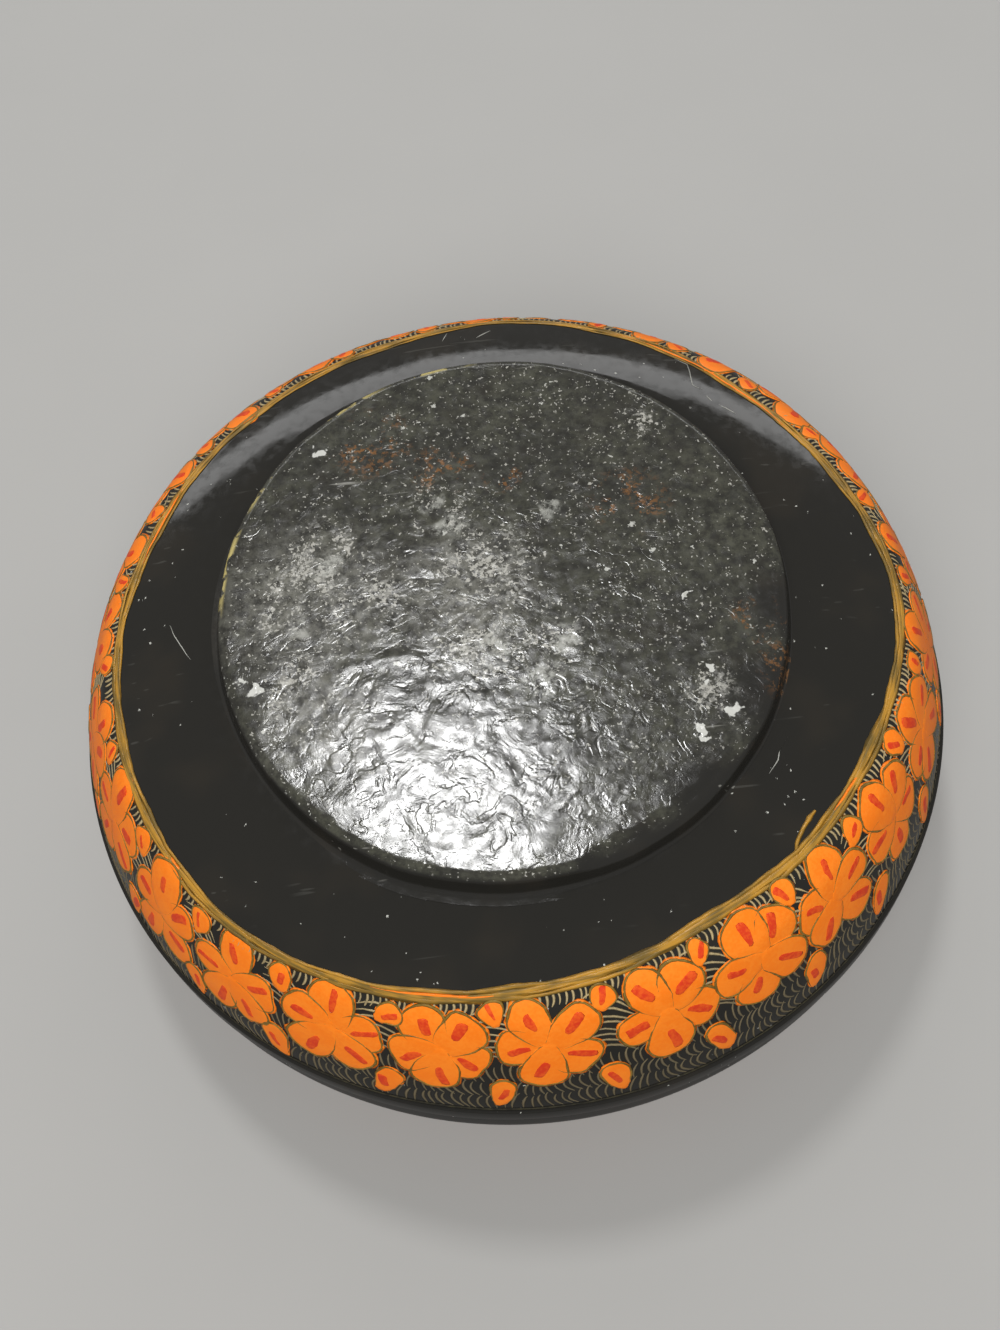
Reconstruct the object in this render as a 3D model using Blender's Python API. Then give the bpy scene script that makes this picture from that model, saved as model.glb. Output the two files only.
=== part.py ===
"""Round papier mache box with a loose lid, modelled turned over: lid below, foot uppermost.

Units are metres and +Z is up. The origin is the middle of the lid's flat crown, on which the
box stands when it is turned over. Outlines are lists of (radius, height) points.
"""
import math

import bmesh
import bpy
from mathutils import Matrix, Vector

MM = 0.001

# Base shell: a moulded bowl with a bulging side, a round shoulder and a flat seat for the foot
RIM_RADIUS = 51.0 * MM
RIM_WALL = 3.9 * MM
RIM_BAND = 3.2 * MM
RIM_STEP = 0.4 * MM
BASE_HEIGHT = 20.8 * MM
SIDE_LEAN = math.radians(10.0)
SIDE_RADIUS = 40.0 * MM
SHOULDER_RADIUS = 6.0 * MM
SHOULDER_SLOPE = math.radians(12.0)
SEAT_MARGIN = 0.6 * MM
BASE_WALL = 3.0 * MM

# Foot: a pasted disc, cut by hand and so a little longer one way than the other
FOOT_WIDTH = 63.0 * MM
FOOT_DEPTH = 67.2 * MM
FOOT_HEIGHT = 2.4 * MM
FOOT_DRAFT = 0.5 * MM
FOOT_EDGE = 1.2 * MM

# Collar: a pasteboard ring, glued into the mouth of the base, over which the lid fits
GLUE_GAP = 0.3 * MM
COLLAR_RADIUS = RIM_RADIUS - RIM_WALL - GLUE_GAP
COLLAR_WALL = 1.5 * MM
COLLAR_SET = 7.0 * MM
COLLAR_PROUD = 5.0 * MM
COLLAR_ROUND = 0.5 * MM

# Lid shell: a low moulded dome with a plain band at its mouth and a flat crown
LID_CLEARANCE = 0.4 * MM
LID_RIM_WALL = 3.4 * MM
LID_RADIUS = COLLAR_RADIUS + LID_CLEARANCE + LID_RIM_WALL
LID_HEIGHT = 16.0 * MM
LID_BAND = 4.5 * MM
LID_LEAN = math.radians(37.0)
LID_SHOULDER_RADIUS = 8.0 * MM
LID_BAND_RADIUS = 6.0 * MM
CROWN_RADIUS = 28.0 * MM
CROWN_SLOPE = math.radians(12.0)
CROWN_ROUND = 50.0 * MM
LID_WALL = 3.0 * MM

# Fits and finish
MOUTH_GAP = 0.3 * MM
COLLAR_HEADROOM = 0.8 * MM
MOUTH_ROUND = 0.6 * MM
SEGMENTS = 64
ARC_STEPS = 6
MERGE_DISTANCE = 0.001 * MM
SHARP_ANGLE = math.radians(35.0)

LACQUER_BLACK = (0.018, 0.016, 0.015, 1.0)
WORN_BLACK = (0.030, 0.026, 0.022, 1.0)
PASTEBOARD_BLACK = (0.026, 0.023, 0.020, 1.0)


def clear_scene():
    for thing in list(bpy.data.objects):
        bpy.data.objects.remove(thing, do_unlink=True)


def make_material(name, colour, roughness):
    material = bpy.data.materials.new(name)
    material.use_nodes = True
    shader = material.node_tree.nodes["Principled BSDF"]
    shader.inputs["Base Color"].default_value = colour
    shader.inputs["Roughness"].default_value = roughness
    shader.inputs["Metallic"].default_value = 0.0
    return material


def make_empty(name, height):
    empty = bpy.data.objects.new(name, None)
    empty.location.z = height
    bpy.context.scene.collection.objects.link(empty)
    return empty


def rounded(before, corner, after, radius, steps=ARC_STEPS):
    """Points of the arc that rounds a corner of an outline, from the before side to the after side."""
    corner = Vector(corner)
    inward = (Vector(before) - corner).normalized()
    onward = (Vector(after) - corner).normalized()
    half_turn = inward.angle(onward) / 2
    centre = corner + (inward + onward).normalized() * (radius / math.sin(half_turn))
    start = corner + inward * (radius / math.tan(half_turn)) - centre
    end = corner + onward * (radius / math.tan(half_turn)) - centre
    sweep = start.angle_signed(end)
    return [tuple(centre + Matrix.Rotation(-sweep * step / steps, 2) @ start) for step in range(steps + 1)]


def meet(point_a, direction_a, point_b, direction_b):
    """Where two straight runs of an outline cross."""
    across = direction_a[0] * direction_b[1] - direction_a[1] * direction_b[0]
    offset = (point_b[0] - point_a[0], point_b[1] - point_a[1])
    reach = (offset[0] * direction_b[1] - offset[1] * direction_b[0]) / across
    return (point_a[0] + reach * direction_a[0], point_a[1] + reach * direction_a[1])


def radius_at(point, direction, height):
    """Radius of a straight run of an outline at a given height."""
    return point[0] + direction[0] * (height - point[1]) / direction[1]


def arc(centre, radius, start, end, steps=ARC_STEPS):
    """Points of an arc of an outline between two angles."""
    angles = [start + (end - start) * step / steps for step in range(steps + 1)]
    return [(centre.x + radius * math.cos(angle), centre.y + radius * math.sin(angle)) for angle in angles]


def shoulder_centre(seat_edge, slope_run, side_centre):
    """Centre of the shoulder arc, which touches the sloping ring and runs on into the side arc."""
    below = Vector((slope_run[1], -slope_run[0])) * SHOULDER_RADIUS
    start = Vector(seat_edge) + below - side_centre
    along = Vector(slope_run)
    spread = start.dot(along) ** 2 - start.length_squared + (SIDE_RADIUS - SHOULDER_RADIUS) ** 2
    return side_centre + start + along * (math.sqrt(spread) - start.dot(along))


def turned(name, outline, material, parent, closed=False, stretch=1.0):
    """Spin an outline about the Z axis into a solid, then stretch it along Y."""
    mesh = bpy.data.meshes.new(name)
    shape = bmesh.new()
    points = [shape.verts.new((radius, 0.0, height)) for radius, height in outline]
    runs = list(zip(points, points[1:]))
    if closed:
        runs.append((points[-1], points[0]))
    edges = [shape.edges.new(run) for run in runs]
    bmesh.ops.spin(shape, geom=points + edges, axis=(0, 0, 1), cent=(0, 0, 0),
                   angle=math.tau, steps=SEGMENTS)
    bmesh.ops.remove_doubles(shape, verts=shape.verts, dist=MERGE_DISTANCE)
    bmesh.ops.recalc_face_normals(shape, faces=shape.faces)
    shape.to_mesh(mesh)
    shape.free()
    mesh.transform(Matrix.Diagonal((1.0, stretch, 1.0, 1.0)))
    mesh.shade_smooth()
    mesh.set_sharp_from_angle(angle=SHARP_ANGLE)
    mesh.materials.append(material)
    piece = bpy.data.objects.new(name, mesh)
    piece.parent = parent
    bpy.context.scene.collection.objects.link(piece)
    return piece


def make_base_shell(parent, material):
    """Bowl with its mouth at height 0, facing down, and the seat of its foot on top."""
    side_foot = Vector((RIM_RADIUS - RIM_STEP, RIM_BAND))
    seat_radius = max(FOOT_WIDTH, FOOT_DEPTH) / 2 + SEAT_MARGIN
    seat_edge = (seat_radius, BASE_HEIGHT)
    slope_run = (math.cos(SHOULDER_SLOPE), -math.sin(SHOULDER_SLOPE))
    side_centre = side_foot - Vector((math.cos(SIDE_LEAN), math.sin(SIDE_LEAN))) * SIDE_RADIUS
    turn_centre = shoulder_centre(seat_edge, slope_run, side_centre)
    meeting = math.atan2(*(turn_centre - side_centre).yx)
    slope_normal = math.pi / 2 - SHOULDER_SLOPE

    # Outside: seat, sloping ring, shoulder, side, rim band
    mouth_radius = COLLAR_RADIUS + GLUE_GAP
    band_top = (RIM_RADIUS, RIM_BAND)
    rim_corner = (RIM_RADIUS, 0.0)
    mouth_corner = (mouth_radius, 0.0)
    outside = [(0.0, BASE_HEIGHT), seat_edge]
    outside += arc(turn_centre, SHOULDER_RADIUS, slope_normal, meeting)
    outside += arc(side_centre, SIDE_RADIUS, meeting, SIDE_LEAN)[1:]
    outside += rounded(side_foot, band_top, rim_corner, RIM_STEP / 2, 2)
    outside += rounded(band_top, rim_corner, mouth_corner, MOUTH_ROUND, 3)

    # Inside: bore for the collar, the ledge it stops on, then a wall of even thickness
    ledge_height = COLLAR_SET + GLUE_GAP
    inner_radius = SIDE_RADIUS - BASE_WALL
    ledge_angle = math.asin((ledge_height - side_centre.y) / inner_radius)
    inner_turn = SHOULDER_RADIUS - BASE_WALL
    inner_seat = seat_radius - BASE_WALL * math.tan(SHOULDER_SLOPE / 2)
    inside = rounded(rim_corner, mouth_corner, (mouth_radius, ledge_height), MOUTH_ROUND, 3)
    inside += [(mouth_radius, ledge_height)]
    inside += arc(side_centre, inner_radius, ledge_angle, meeting, 3)
    inside += arc(turn_centre, inner_turn, meeting, slope_normal)[1:]
    inside += [(inner_seat, BASE_HEIGHT - BASE_WALL), (0.0, BASE_HEIGHT - BASE_WALL)]
    return turned("base_shell", outside + inside, material, parent)


def make_foot_disc(parent, material):
    """Raised disc with a rounded edge, seated on the flat of the base."""
    radius = FOOT_WIDTH / 2
    wall_foot = (radius, 0.0)
    top_corner = (radius - FOOT_DRAFT, FOOT_HEIGHT)
    outline = [(0.0, FOOT_HEIGHT)]
    outline += rounded((0.0, FOOT_HEIGHT), top_corner, wall_foot, FOOT_EDGE)
    outline += [wall_foot, (0.0, 0.0)]
    disc = turned("foot_disc", outline, material, parent, stretch=FOOT_DEPTH / FOOT_WIDTH)
    disc.location.z = BASE_HEIGHT + GLUE_GAP
    return disc


def make_neck_collar(parent, material):
    """Ring that fills the bore of the base and stands proud of its mouth."""
    inner_radius = COLLAR_RADIUS - COLLAR_WALL
    proud_outer = (COLLAR_RADIUS, -COLLAR_PROUD)
    proud_inner = (inner_radius, -COLLAR_PROUD)
    outline = [(inner_radius, COLLAR_SET), (COLLAR_RADIUS, COLLAR_SET)]
    outline += rounded(outline[1], proud_outer, proud_inner, COLLAR_ROUND, 3)
    outline += rounded(proud_outer, proud_inner, outline[0], COLLAR_ROUND, 3)
    return turned("neck_collar", outline, material, parent, closed=True)


def make_lid_shell(parent, material):
    """Low dome, crown down, whose mouth slips over the collar."""
    mouth_radius = COLLAR_RADIUS + LID_CLEARANCE
    ledge_height = LID_HEIGHT - COLLAR_PROUD + MOUTH_GAP - COLLAR_HEADROOM
    side_run = (-math.sin(LID_LEAN), -math.cos(LID_LEAN))
    slope_run = (math.cos(CROWN_SLOPE), math.sin(CROWN_SLOPE))

    # Outside, from the mouth down: plain band, leaning side, shoulder, crown
    mouth_corner = (mouth_radius, LID_HEIGHT)
    rim_corner = (LID_RADIUS, LID_HEIGHT)
    band_foot = (LID_RADIUS, LID_HEIGHT - LID_BAND)
    crown_edge = (CROWN_RADIUS, 0.0)
    shoulder = meet(crown_edge, slope_run, band_foot, side_run)
    outside = rounded(mouth_corner, rim_corner, band_foot, MOUTH_ROUND, 3)
    outside += rounded(rim_corner, band_foot, shoulder, LID_BAND_RADIUS, 4)
    outside += rounded(band_foot, shoulder, crown_edge, LID_SHOULDER_RADIUS)
    outside += rounded(shoulder, crown_edge, (0.0, 0.0), CROWN_ROUND, 4)
    outside += [(0.0, 0.0)]

    # Inside, from the mouth down: slip fit over the collar, ledge, even wall
    inner_side = (LID_RADIUS - LID_WALL / math.cos(LID_LEAN), LID_HEIGHT - LID_BAND)
    inner_crown = (CROWN_RADIUS - LID_WALL * math.tan(CROWN_SLOPE / 2), LID_WALL)
    inner_shoulder = meet(inner_crown, slope_run, inner_side, side_run)
    ledge_outer = (mouth_radius, ledge_height)
    ledge_inner = (radius_at(inner_side, side_run, ledge_height), ledge_height)
    inner_round = max(LID_SHOULDER_RADIUS - LID_WALL, MOUTH_ROUND)
    inside = [(0.0, LID_WALL), inner_crown]
    inside += rounded(inner_crown, inner_shoulder, ledge_inner, inner_round)
    inside += [ledge_inner, ledge_outer]
    inside += rounded(ledge_outer, mouth_corner, rim_corner, MOUTH_ROUND, 3)
    return turned("lid_shell", inside + outside, material, parent)


def main():
    clear_scene()
    lacquer = make_material("black_lacquer", LACQUER_BLACK, 0.28)
    worn = make_material("worn_lacquer", WORN_BLACK, 0.45)
    pasteboard = make_material("painted_pasteboard", PASTEBOARD_BLACK, 0.55)

    lid_half = make_empty("lid_half", 0.0)
    base_half = make_empty("base_half", LID_HEIGHT + MOUTH_GAP)
    make_lid_shell(lid_half, lacquer)
    make_base_shell(base_half, lacquer)
    make_foot_disc(base_half, worn)
    make_neck_collar(base_half, pasteboard)


main()
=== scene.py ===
"""Looks of a round papier mache box that stands turned over on its lid.

Black lacquer, a worn and wrinkled foot, and hand painted bands of orange flowers. Units are metres and
+Z is up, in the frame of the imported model. Brushwork is first drawn flat: x runs round the box, y up
the wall and z off its surface. It is then laid on the wall of the base or of the lid, or in the lid's
crown.
"""
import math
import random

import bmesh
import bpy
import numpy as np
from mathutils import Matrix, Vector


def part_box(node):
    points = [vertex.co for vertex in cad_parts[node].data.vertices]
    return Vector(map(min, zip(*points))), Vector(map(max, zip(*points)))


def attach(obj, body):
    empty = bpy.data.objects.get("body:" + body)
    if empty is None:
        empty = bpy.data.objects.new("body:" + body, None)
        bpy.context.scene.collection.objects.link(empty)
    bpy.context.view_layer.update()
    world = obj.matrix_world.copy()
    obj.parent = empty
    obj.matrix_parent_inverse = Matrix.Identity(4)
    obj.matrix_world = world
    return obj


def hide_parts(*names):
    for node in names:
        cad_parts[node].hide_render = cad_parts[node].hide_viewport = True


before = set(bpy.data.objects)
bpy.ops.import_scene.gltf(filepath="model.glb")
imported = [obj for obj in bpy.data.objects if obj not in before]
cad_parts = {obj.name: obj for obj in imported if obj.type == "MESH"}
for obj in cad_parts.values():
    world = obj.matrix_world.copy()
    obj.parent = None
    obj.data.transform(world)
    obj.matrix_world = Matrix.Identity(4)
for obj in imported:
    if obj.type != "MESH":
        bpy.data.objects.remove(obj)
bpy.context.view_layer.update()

bl_info = {
    "name": "Papier mache lidded box",
    "version": (1, 0, 0),
    "blender": (4, 5, 0),
    "location": "3D View > Sidebar > Box",
    "description": "Lacquered shells and painted flower bands of a round papier mache box",
    "category": "Object",
}

MM = 0.001
BASE_LOW, BASE_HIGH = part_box("base_shell")
COLLAR_LOW, COLLAR_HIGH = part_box("neck_collar")
LID_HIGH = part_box("lid_shell")[1]
FOOT_RADIUS, FOOT_RADIUS_Y, FOOT_TOP = (float(value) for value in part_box("foot_disc")[1])

# Height from which hand moulding lifts a shell, and where round the box its unevenness starts.
# The lid's lies far above it, so its heights stay true.
BASE_FREE = 26.0 * MM
BASE_PHASE = 0.0
LID_FREE = 1.0
LID_PHASE = 2.0

# Side of the box that faces the photograph's viewer
FRONT = math.radians(270)

# Where the painter's hand drifted from a level line: angle in degrees, drop in mm, spread in degrees
LINE_LEVEL = 0.3 * MM
LINE_DRIFT = ((226, 2.85, 37), (180, 0.5, 16), (355, 1.6, 17), (295, -0.8, 15), (36, -0.6, 13),
              (82, 1.1, 17))

# Share of their width that the lines round the box lose at its back
BACK_THINNING = 0.4

# Strands of the gold ring: shift and width in line widths, lift in paint thicknesses
GOLD_STRANDS = ((0.0, 0.95, 0.5), (-0.36, 0.4, 0.8), (0.34, 0.45, 0.75), (0.06, 0.3, 0.95))

# Orange streaks on the gold ring, from angle to angle in degrees
ORANGE_STREAKS = ((247, 270), (28, 66), (146, 163), (318, 327))

# Loose tail of the gold brush: angle where it leaves the ring and its sweep in degrees, and its rise
TAIL_START = 309.6
TAIL_SWEEP = 7.0
TAIL_RISE = 1.75 * MM
TAIL_STEPS = 12

# Hatching: rows of commas at the foot of a band, and bent strokes across the gap between two flowers
COMMA_STEP = 2.7 * MM
COMMA_LENGTH = 2.9 * MM
BAND_PER_COMMA_ROW = 6.3 * MM
ECHO_TOP = 2.8 * MM
ECHO_STEP = 0.86 * MM
ECHO_BEND = 2.2 * MM
ECHO_LENGTH = 5.8 * MM

# Hatching: ticks that hang from the gold line
TICK_DROP = 1.15 * MM
TICK_BEND = 0.5 * MM
TICK_LENGTH = 1.5 * MM

# Ring of buds round the flower in the lid's crown
CROWN_BUDS = 10
CROWN_BUD_RADIUS = 9.4 * MM

# Fine scratches on the ring, as runs of angle in degrees and rise above the shoulder in mm
RING_SCRATCHES = (
    ((325, 8), (322, 8), (320, 7.5), (317, 7.5)),
    ((321.5, 8.5), (323, 8.5), (322, 9)),
    ((54, 0.5), (51.5, 0.5), (48, 3.5), (46, 3.5)),
    ((44.5, 4), (43, 4.3)),
    ((41.5, 4.2), (38, 3.8)),
    ((94, 0), (95, 1.5)),
    ((89, 1.7), (86.5, 0.5)),
    ((175.5, 5), (179.5, 6.2), (183.5, 7.5)),
)
SCRATCH_WIDTH = 0.13 * MM
SCRATCH_STEPS = 5

# Worn places of the foot: x, y and reach in mm
RUST_SPOTS = ((-13, 22.5, 6), (-5, 17.5, 4.5), (1.5, 16, 3), (15.5, 10.5, 5.5), (27, -7, 4),
              (30, -13, 5))
SCUFF_SPOTS = ((-19, 7, 7), (-15, 1, 6), (-5.5, 12, 5), (-1, 3.5, 8), (-3, -7, 7), (4.5, -6, 5),
               (21, -14.5, 4), (18, 21, 3), (-22, -9, 6), (-24, 2, 5))
PATCH_SPOTS = ((7, 10.8, 1.7), (-5.7, 13.2, 1.6), (-5, 9.5, 2), (-18.5, 6.5, 2), (6.5, -6.5, 2.2),
               (-1, -6.5, 2.4), (3.5, -11, 2.6), (-22, -1.5, 1.8))
CHIP_SPOTS = ((-19, 22, 1), (-27.7, -8.3, 1.2), (22.2, -17.3, 1), (21, -11.7, 0.8), (20.7, -13.5, 0.7),
              (20.5, -3.1, 0.7), (19.2, -19.4, 0.8))
HAZE_SPOTS = ((-21, 2, 13), (-4, 1, 11), (-20, -13, 9))
SMOOTH_SPOTS = ((30, -5, 6), (27, -15.5, 7.5), (19, -26, 6.5), (11.5, -30.5, 3), (6, -32.5, 2.5))
CREAM_SPOTS = ((-29.5, 7.5, 7.5), (-25, 17, 4), (-15, 27.5, 6), (-5, 31.5, 6))

# Flaked lip of the foot: its ends and how they fade in degrees, its width, depth and broken step
FLAKE_ENDS = (273.0, 328.0)
FLAKE_FADES = (12.0, 20.0)
FLAKE_WIDTH = 2.1 * MM
FLAKE_DEPTH = 0.4 * MM
FLAKE_STEP = 0.3 * MM

# Camera of the photograph: rise and roll in degrees, distance, lens in mm, and the pixel on its axis
CAMERA_RISE = 60.98
CAMERA_ROLL = -6.52
CAMERA_DISTANCE = 180.53 * MM
CAMERA_LENS = 54.0
CAMERA_SENSOR = 36.0
PHOTO_SIZE = (1000, 1330)
PHOTO_AXIS = (510.46, 684.32)

# What the camera and most lamps point at, and the middle of the bright patch on the foot
FOCUS = Vector((0.0, 0.0, 19.5 * MM))
BRIGHT_PATCH = Vector((-6.8 * MM, -22.7 * MM, FOOT_TOP))

# Types of node group sockets
GEOMETRY = "NodeSocketGeometry"
FLOAT = "NodeSocketFloat"
INTEGER = "NodeSocketInt"
VECTOR = "NodeSocketVector"
COLOUR = "NodeSocketColor"
MATERIAL = "NodeSocketMaterial"


def length(name, description, default):
    return bpy.props.FloatProperty(name=name, description=description, default=float(default),
                                   min=0.0, precision=5, subtype="DISTANCE", unit="LENGTH")


def angle(name, description, degrees):
    return bpy.props.FloatProperty(name=name, description=description, default=math.radians(degrees),
                                   subtype="ANGLE", unit="ROTATION")


def share(name, description, default):
    return bpy.props.FloatProperty(name=name, description=description, default=default,
                                   min=0.0, soft_max=1.0, subtype="FACTOR")


def count(name, description, default):
    return bpy.props.IntProperty(name=name, description=description, default=default, min=1)


def paint(name, description, red, green, blue):
    return bpy.props.FloatVectorProperty(name=name, description=description, size=4, subtype="COLOR",
                                         default=(red, green, blue, 1.0), min=0.0, max=1.0)


class BoxShape(bpy.types.PropertyGroup):
    """Sizes of the moulded shells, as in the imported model."""

    rim_radius: length("Rim radius", "Outside of the base at its mouth", BASE_HIGH[0])
    rim_band: length("Rim band", "Height of the plain band at the mouth of the base", 3.2 * MM)
    rim_step: length("Rim step", "How far the band stands out from the side", 0.4 * MM)
    mouth_height: length("Mouth height", "Height of the base's mouth", BASE_LOW[2])
    seat_height: length("Seat height", "Height of the flat that carries the foot", BASE_HIGH[2])
    seat_radius: length("Seat radius", "Edge of the flat that carries the foot", 34.2 * MM)
    ring_slope: angle("Ring slope", "Fall of the ring round the foot", 12)
    shoulder_radius: length("Shoulder radius", "Rounding between the ring and the side", 6.0 * MM)
    side_radius: length("Side radius", "Bulge of the side", 40.0 * MM)
    side_lean: angle("Side lean", "Lean of the side at its lower line", 10)
    ring_bulge: length("Ring bulge", "How far the ring round the foot swells", 0.14 * MM)
    base_wall: length("Base wall", "Thickness of the base", 3.0 * MM)
    bore_radius: length("Bore radius", "Bore of the base for the collar", 47.1 * MM)
    ledge_height: length("Ledge height", "Where the collar stops in the base", 23.6 * MM)
    collar_wall: length("Collar wall", "Thickness of the collar", 1.5 * MM)
    foot_edge: length("Foot edge", "Rounding of the foot's edge", 1.2 * MM)
    foot_flare: length("Foot flare", "Spread of lacquer where the foot meets the base", 1.1 * MM)
    lid_radius: length("Lid radius", "Outside of the lid at its mouth", LID_HIGH[0])
    lid_height: length("Lid height", "Height of the lid's mouth", LID_HIGH[2])
    lid_band: length("Lid band", "Height of the lid's upright band", 4.5 * MM)
    lid_band_radius: length("Lid band radius", "Rounding under the lid's band", 6.0 * MM)
    lid_lean: angle("Lid lean", "Lean of the lid's side", 37)
    lid_shoulder_radius: length("Lid shoulder radius", "Rounding between its side and crown", 8.0 * MM)
    lid_bore: length("Lid bore", "Bore of the lid's mouth", 47.2 * MM)
    lid_ledge: length("Lid ledge", "Depth at which the lid's bore ends", 10.5 * MM)
    lid_wall: length("Lid wall", "Thickness of the lid", 3.0 * MM)
    crown_radius: length("Crown radius", "Where the crown's flat would meet its slope", 28.0 * MM)
    crown_slope: angle("Crown slope", "Rise of the crown round its flat", 12)
    crown_round: length("Crown round", "Rounding between the crown's flat and slope", 50.0 * MM)
    crown_dish: length("Crown dish", "Hollow in the crown, which keeps its paint off the table", 0.4 * MM)
    mouth_round: length("Mouth round", "Rounding of the mouths", 0.6 * MM)
    segments: count("Segments", "Sides of each turned shell", 288)
    unevenness: length("Unevenness", "How far the hand moulding strays from true", 0.1 * MM)


class BandDesign(bpy.types.PropertyGroup):
    """Layout of a painted flower band."""

    flowers: count("Flowers", "Flowers round the box", 26)
    petals: count("Petals", "Petals of a flower", 5)
    reference_radius: length("Reference radius", "Where the flat drawing keeps its length", 48.0 * MM)
    flower_drop: length("Flower drop", "From the gold line to the middle of a flower", 7.0 * MM)
    petal_reach: length("Petal reach", "Length of a petal that points along the band", 5.6 * MM)
    petal_drop: length("Petal drop", "Length of a petal that points across the band", 7.1 * MM)
    petal_width: length("Petal width", "Width of a petal", 5.0 * MM)
    petal_inset: length("Petal inset", "How far a petal starts beyond the flower's middle", 0.6 * MM)
    petal_start: angle("Petal start", "Direction of the first petal from straight up", -15)
    dab_length: length("Dab length", "Length of the red dab in a petal", 2.8 * MM)
    dab_width: length("Dab width", "Width of the red dab in a petal", 1.05 * MM)
    bud_size: length("Bud size", "Width of the buds between flowers", 2.8 * MM)
    bud_drop: length("Bud drop", "From the gold line to the lower buds", 14.6 * MM)
    hatch_pitch: length("Hatch pitch", "Spacing of the hatching", 0.72 * MM)
    hatch_width: length("Hatch width", "Width of a hatching stroke", 0.3 * MM)
    band_height: length("Band height", "From the gold line to the lower line", 18.9 * MM)
    line_width: length("Line width", "Width of the gold line", 1.2 * MM)
    outline_width: length("Outline width", "Width of the petals' outlines", 0.30 * MM)
    thickness: length("Paint thickness", "Height of a brush mark", 0.09 * MM)
    scale: share("Scale", "Size of the flowers against the drawing", 1.0)
    seed: count("Seed", "Which of the hand's accidents are drawn", 7)


class BoxFinish(bpy.types.PropertyGroup):
    """Colours of lacquer, paint and stage."""

    lacquer: paint("Lacquer", "Black lacquer", 0.0165, 0.0155, 0.0130)
    lacquer_brown: paint("Brown lacquer", "Thin places in the lacquer", 0.021, 0.0185, 0.0145)
    dust: paint("Dust", "Dust and fine scratches", 0.42, 0.42, 0.38)
    film: paint("Film", "Grey film over the foot's lacquer", 0.066, 0.066, 0.048)
    # Also the colour of the foot's pale specks, which are partly grit and partly painted glints
    scuff_and_glint: paint("Scuff", "Grey wear of the foot", 0.36, 0.35, 0.31)
    chip: paint("Chip", "White chips in the foot's lacquer", 0.52, 0.52, 0.48)
    rust: paint("Rust", "Rust brown flecks of the foot", 0.165, 0.075, 0.024)
    worn_edge: paint("Worn edge", "Cream ground where the foot's edge is rubbed", 0.52, 0.43, 0.16)
    orange: paint("Orange", "Flower paint", 0.95, 0.205, 0.008)
    orange_pale: paint("Pale orange", "Thick flower paint", 1.0, 0.27, 0.02)
    red: paint("Red", "Dabs in the petals", 0.66, 0.042, 0.009)
    red_thin: paint("Thin red", "Worn ends of the dabs", 0.82, 0.11, 0.012)
    gold: paint("Gold", "Ochre gold of the ring", 0.46, 0.235, 0.030)
    gold_dark: paint("Dark gold", "Olive streaks of the ring", 0.13, 0.088, 0.022)
    outline: paint("Outline", "Olive outlines of the petals", 0.155, 0.095, 0.018)
    outline_pale: paint("Pale outline", "Thin places of the outlines", 0.30, 0.18, 0.035)
    hatch: paint("Hatching", "Pale gold hatching", 0.47, 0.365, 0.185)
    # Thin places of the hatching, and also the colour of the painted shade that darkens it low on the wall
    hatch_thin_and_shade: paint("Dull hatching", "Hatching low on the wall", 0.17, 0.135, 0.076)
    line_dull: paint("Dull line", "Worn olive of the lower line", 0.050, 0.044, 0.025)
    board: paint("Board", "Painted pasteboard of the collar", 0.026, 0.023, 0.020)
    board_worn: paint("Worn board", "Bare pasteboard", 0.16, 0.11, 0.062)
    floor: paint("Floor", "Pale floor near the box", 0.41, 0.405, 0.39)
    far_floor: paint("Far floor", "Pale floor far from the box", 0.55, 0.55, 0.54)
    far_glow: paint("Far glow", "Light that the far floor gives off to the camera", 0.50, 0.50, 0.49)
    sky: paint("Sky", "Surroundings as the box sees them", 0.30, 0.30, 0.30)
    backdrop: paint("Backdrop", "Surroundings as the camera sees them", 0.72, 0.72, 0.71)


def fill_inputs(tree, node, inputs):
    """Fill a node's inputs with values or with links from other sockets."""
    for key, value in inputs.items():
        if isinstance(value, bpy.types.NodeSocket):
            tree.links.new(value, node.inputs[key])
        else:
            node.inputs[key].default_value = value


def new_node(tree, kind, inputs=None, **settings):
    """Add a node, set it up and fill its inputs."""
    made = tree.nodes.new(kind)
    for name, value in settings.items():
        setattr(made, name, value)
    fill_inputs(tree, made, inputs or {})
    return made


def calc(tree, operation, *values):
    """Output of a Math node."""
    return new_node(tree, "ShaderNodeMath", dict(enumerate(values)), operation=operation).outputs[0]


def product(tree, first, *others):
    """Output of a chain of Math nodes that multiplies values."""
    for other in others:
        first = calc(tree, "MULTIPLY", first, other)
    return first


def vector_calc(tree, operation, *values):
    """Output of a Vector Math node."""
    return new_node(tree, "ShaderNodeVectorMath", dict(enumerate(values)), operation=operation).outputs[0]


def vector_length(tree, vector):
    """Length that a Vector Math node gives."""
    return new_node(tree, "ShaderNodeVectorMath", {0: vector}, operation="LENGTH").outputs["Value"]


def scaled(tree, vector, size):
    """Vector scaled by a Vector Math node."""
    return new_node(tree, "ShaderNodeVectorMath", {0: vector, "Scale": size}, operation="SCALE").outputs[0]


def split(tree, vector):
    """The X, Y and Z of a vector."""
    return new_node(tree, "ShaderNodeSeparateXYZ", {0: vector}).outputs


def noise(tree, place, scale, detail, roughness=0.5, distortion=0.0):
    """Outputs of a Noise Texture node."""
    return new_node(tree, "ShaderNodeTexNoise", {
        "Vector": place, "Scale": scale, "Detail": detail, "Roughness": roughness,
        "Distortion": distortion}).outputs


def waves(tree, wave):
    """Scale of a noise whose waves have a given length."""
    return calc(tree, "DIVIDE", 1.0, wave)


def eased(tree, value, low, high, start=0.0, end=1.0):
    """Value eased from start to end as it goes from low to high."""
    return new_node(tree, "ShaderNodeMapRange", {"Value": value, "From Min": low, "From Max": high,
                                                 "To Min": start, "To Max": end},
                    interpolation_type="SMOOTHSTEP").outputs["Result"]


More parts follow.
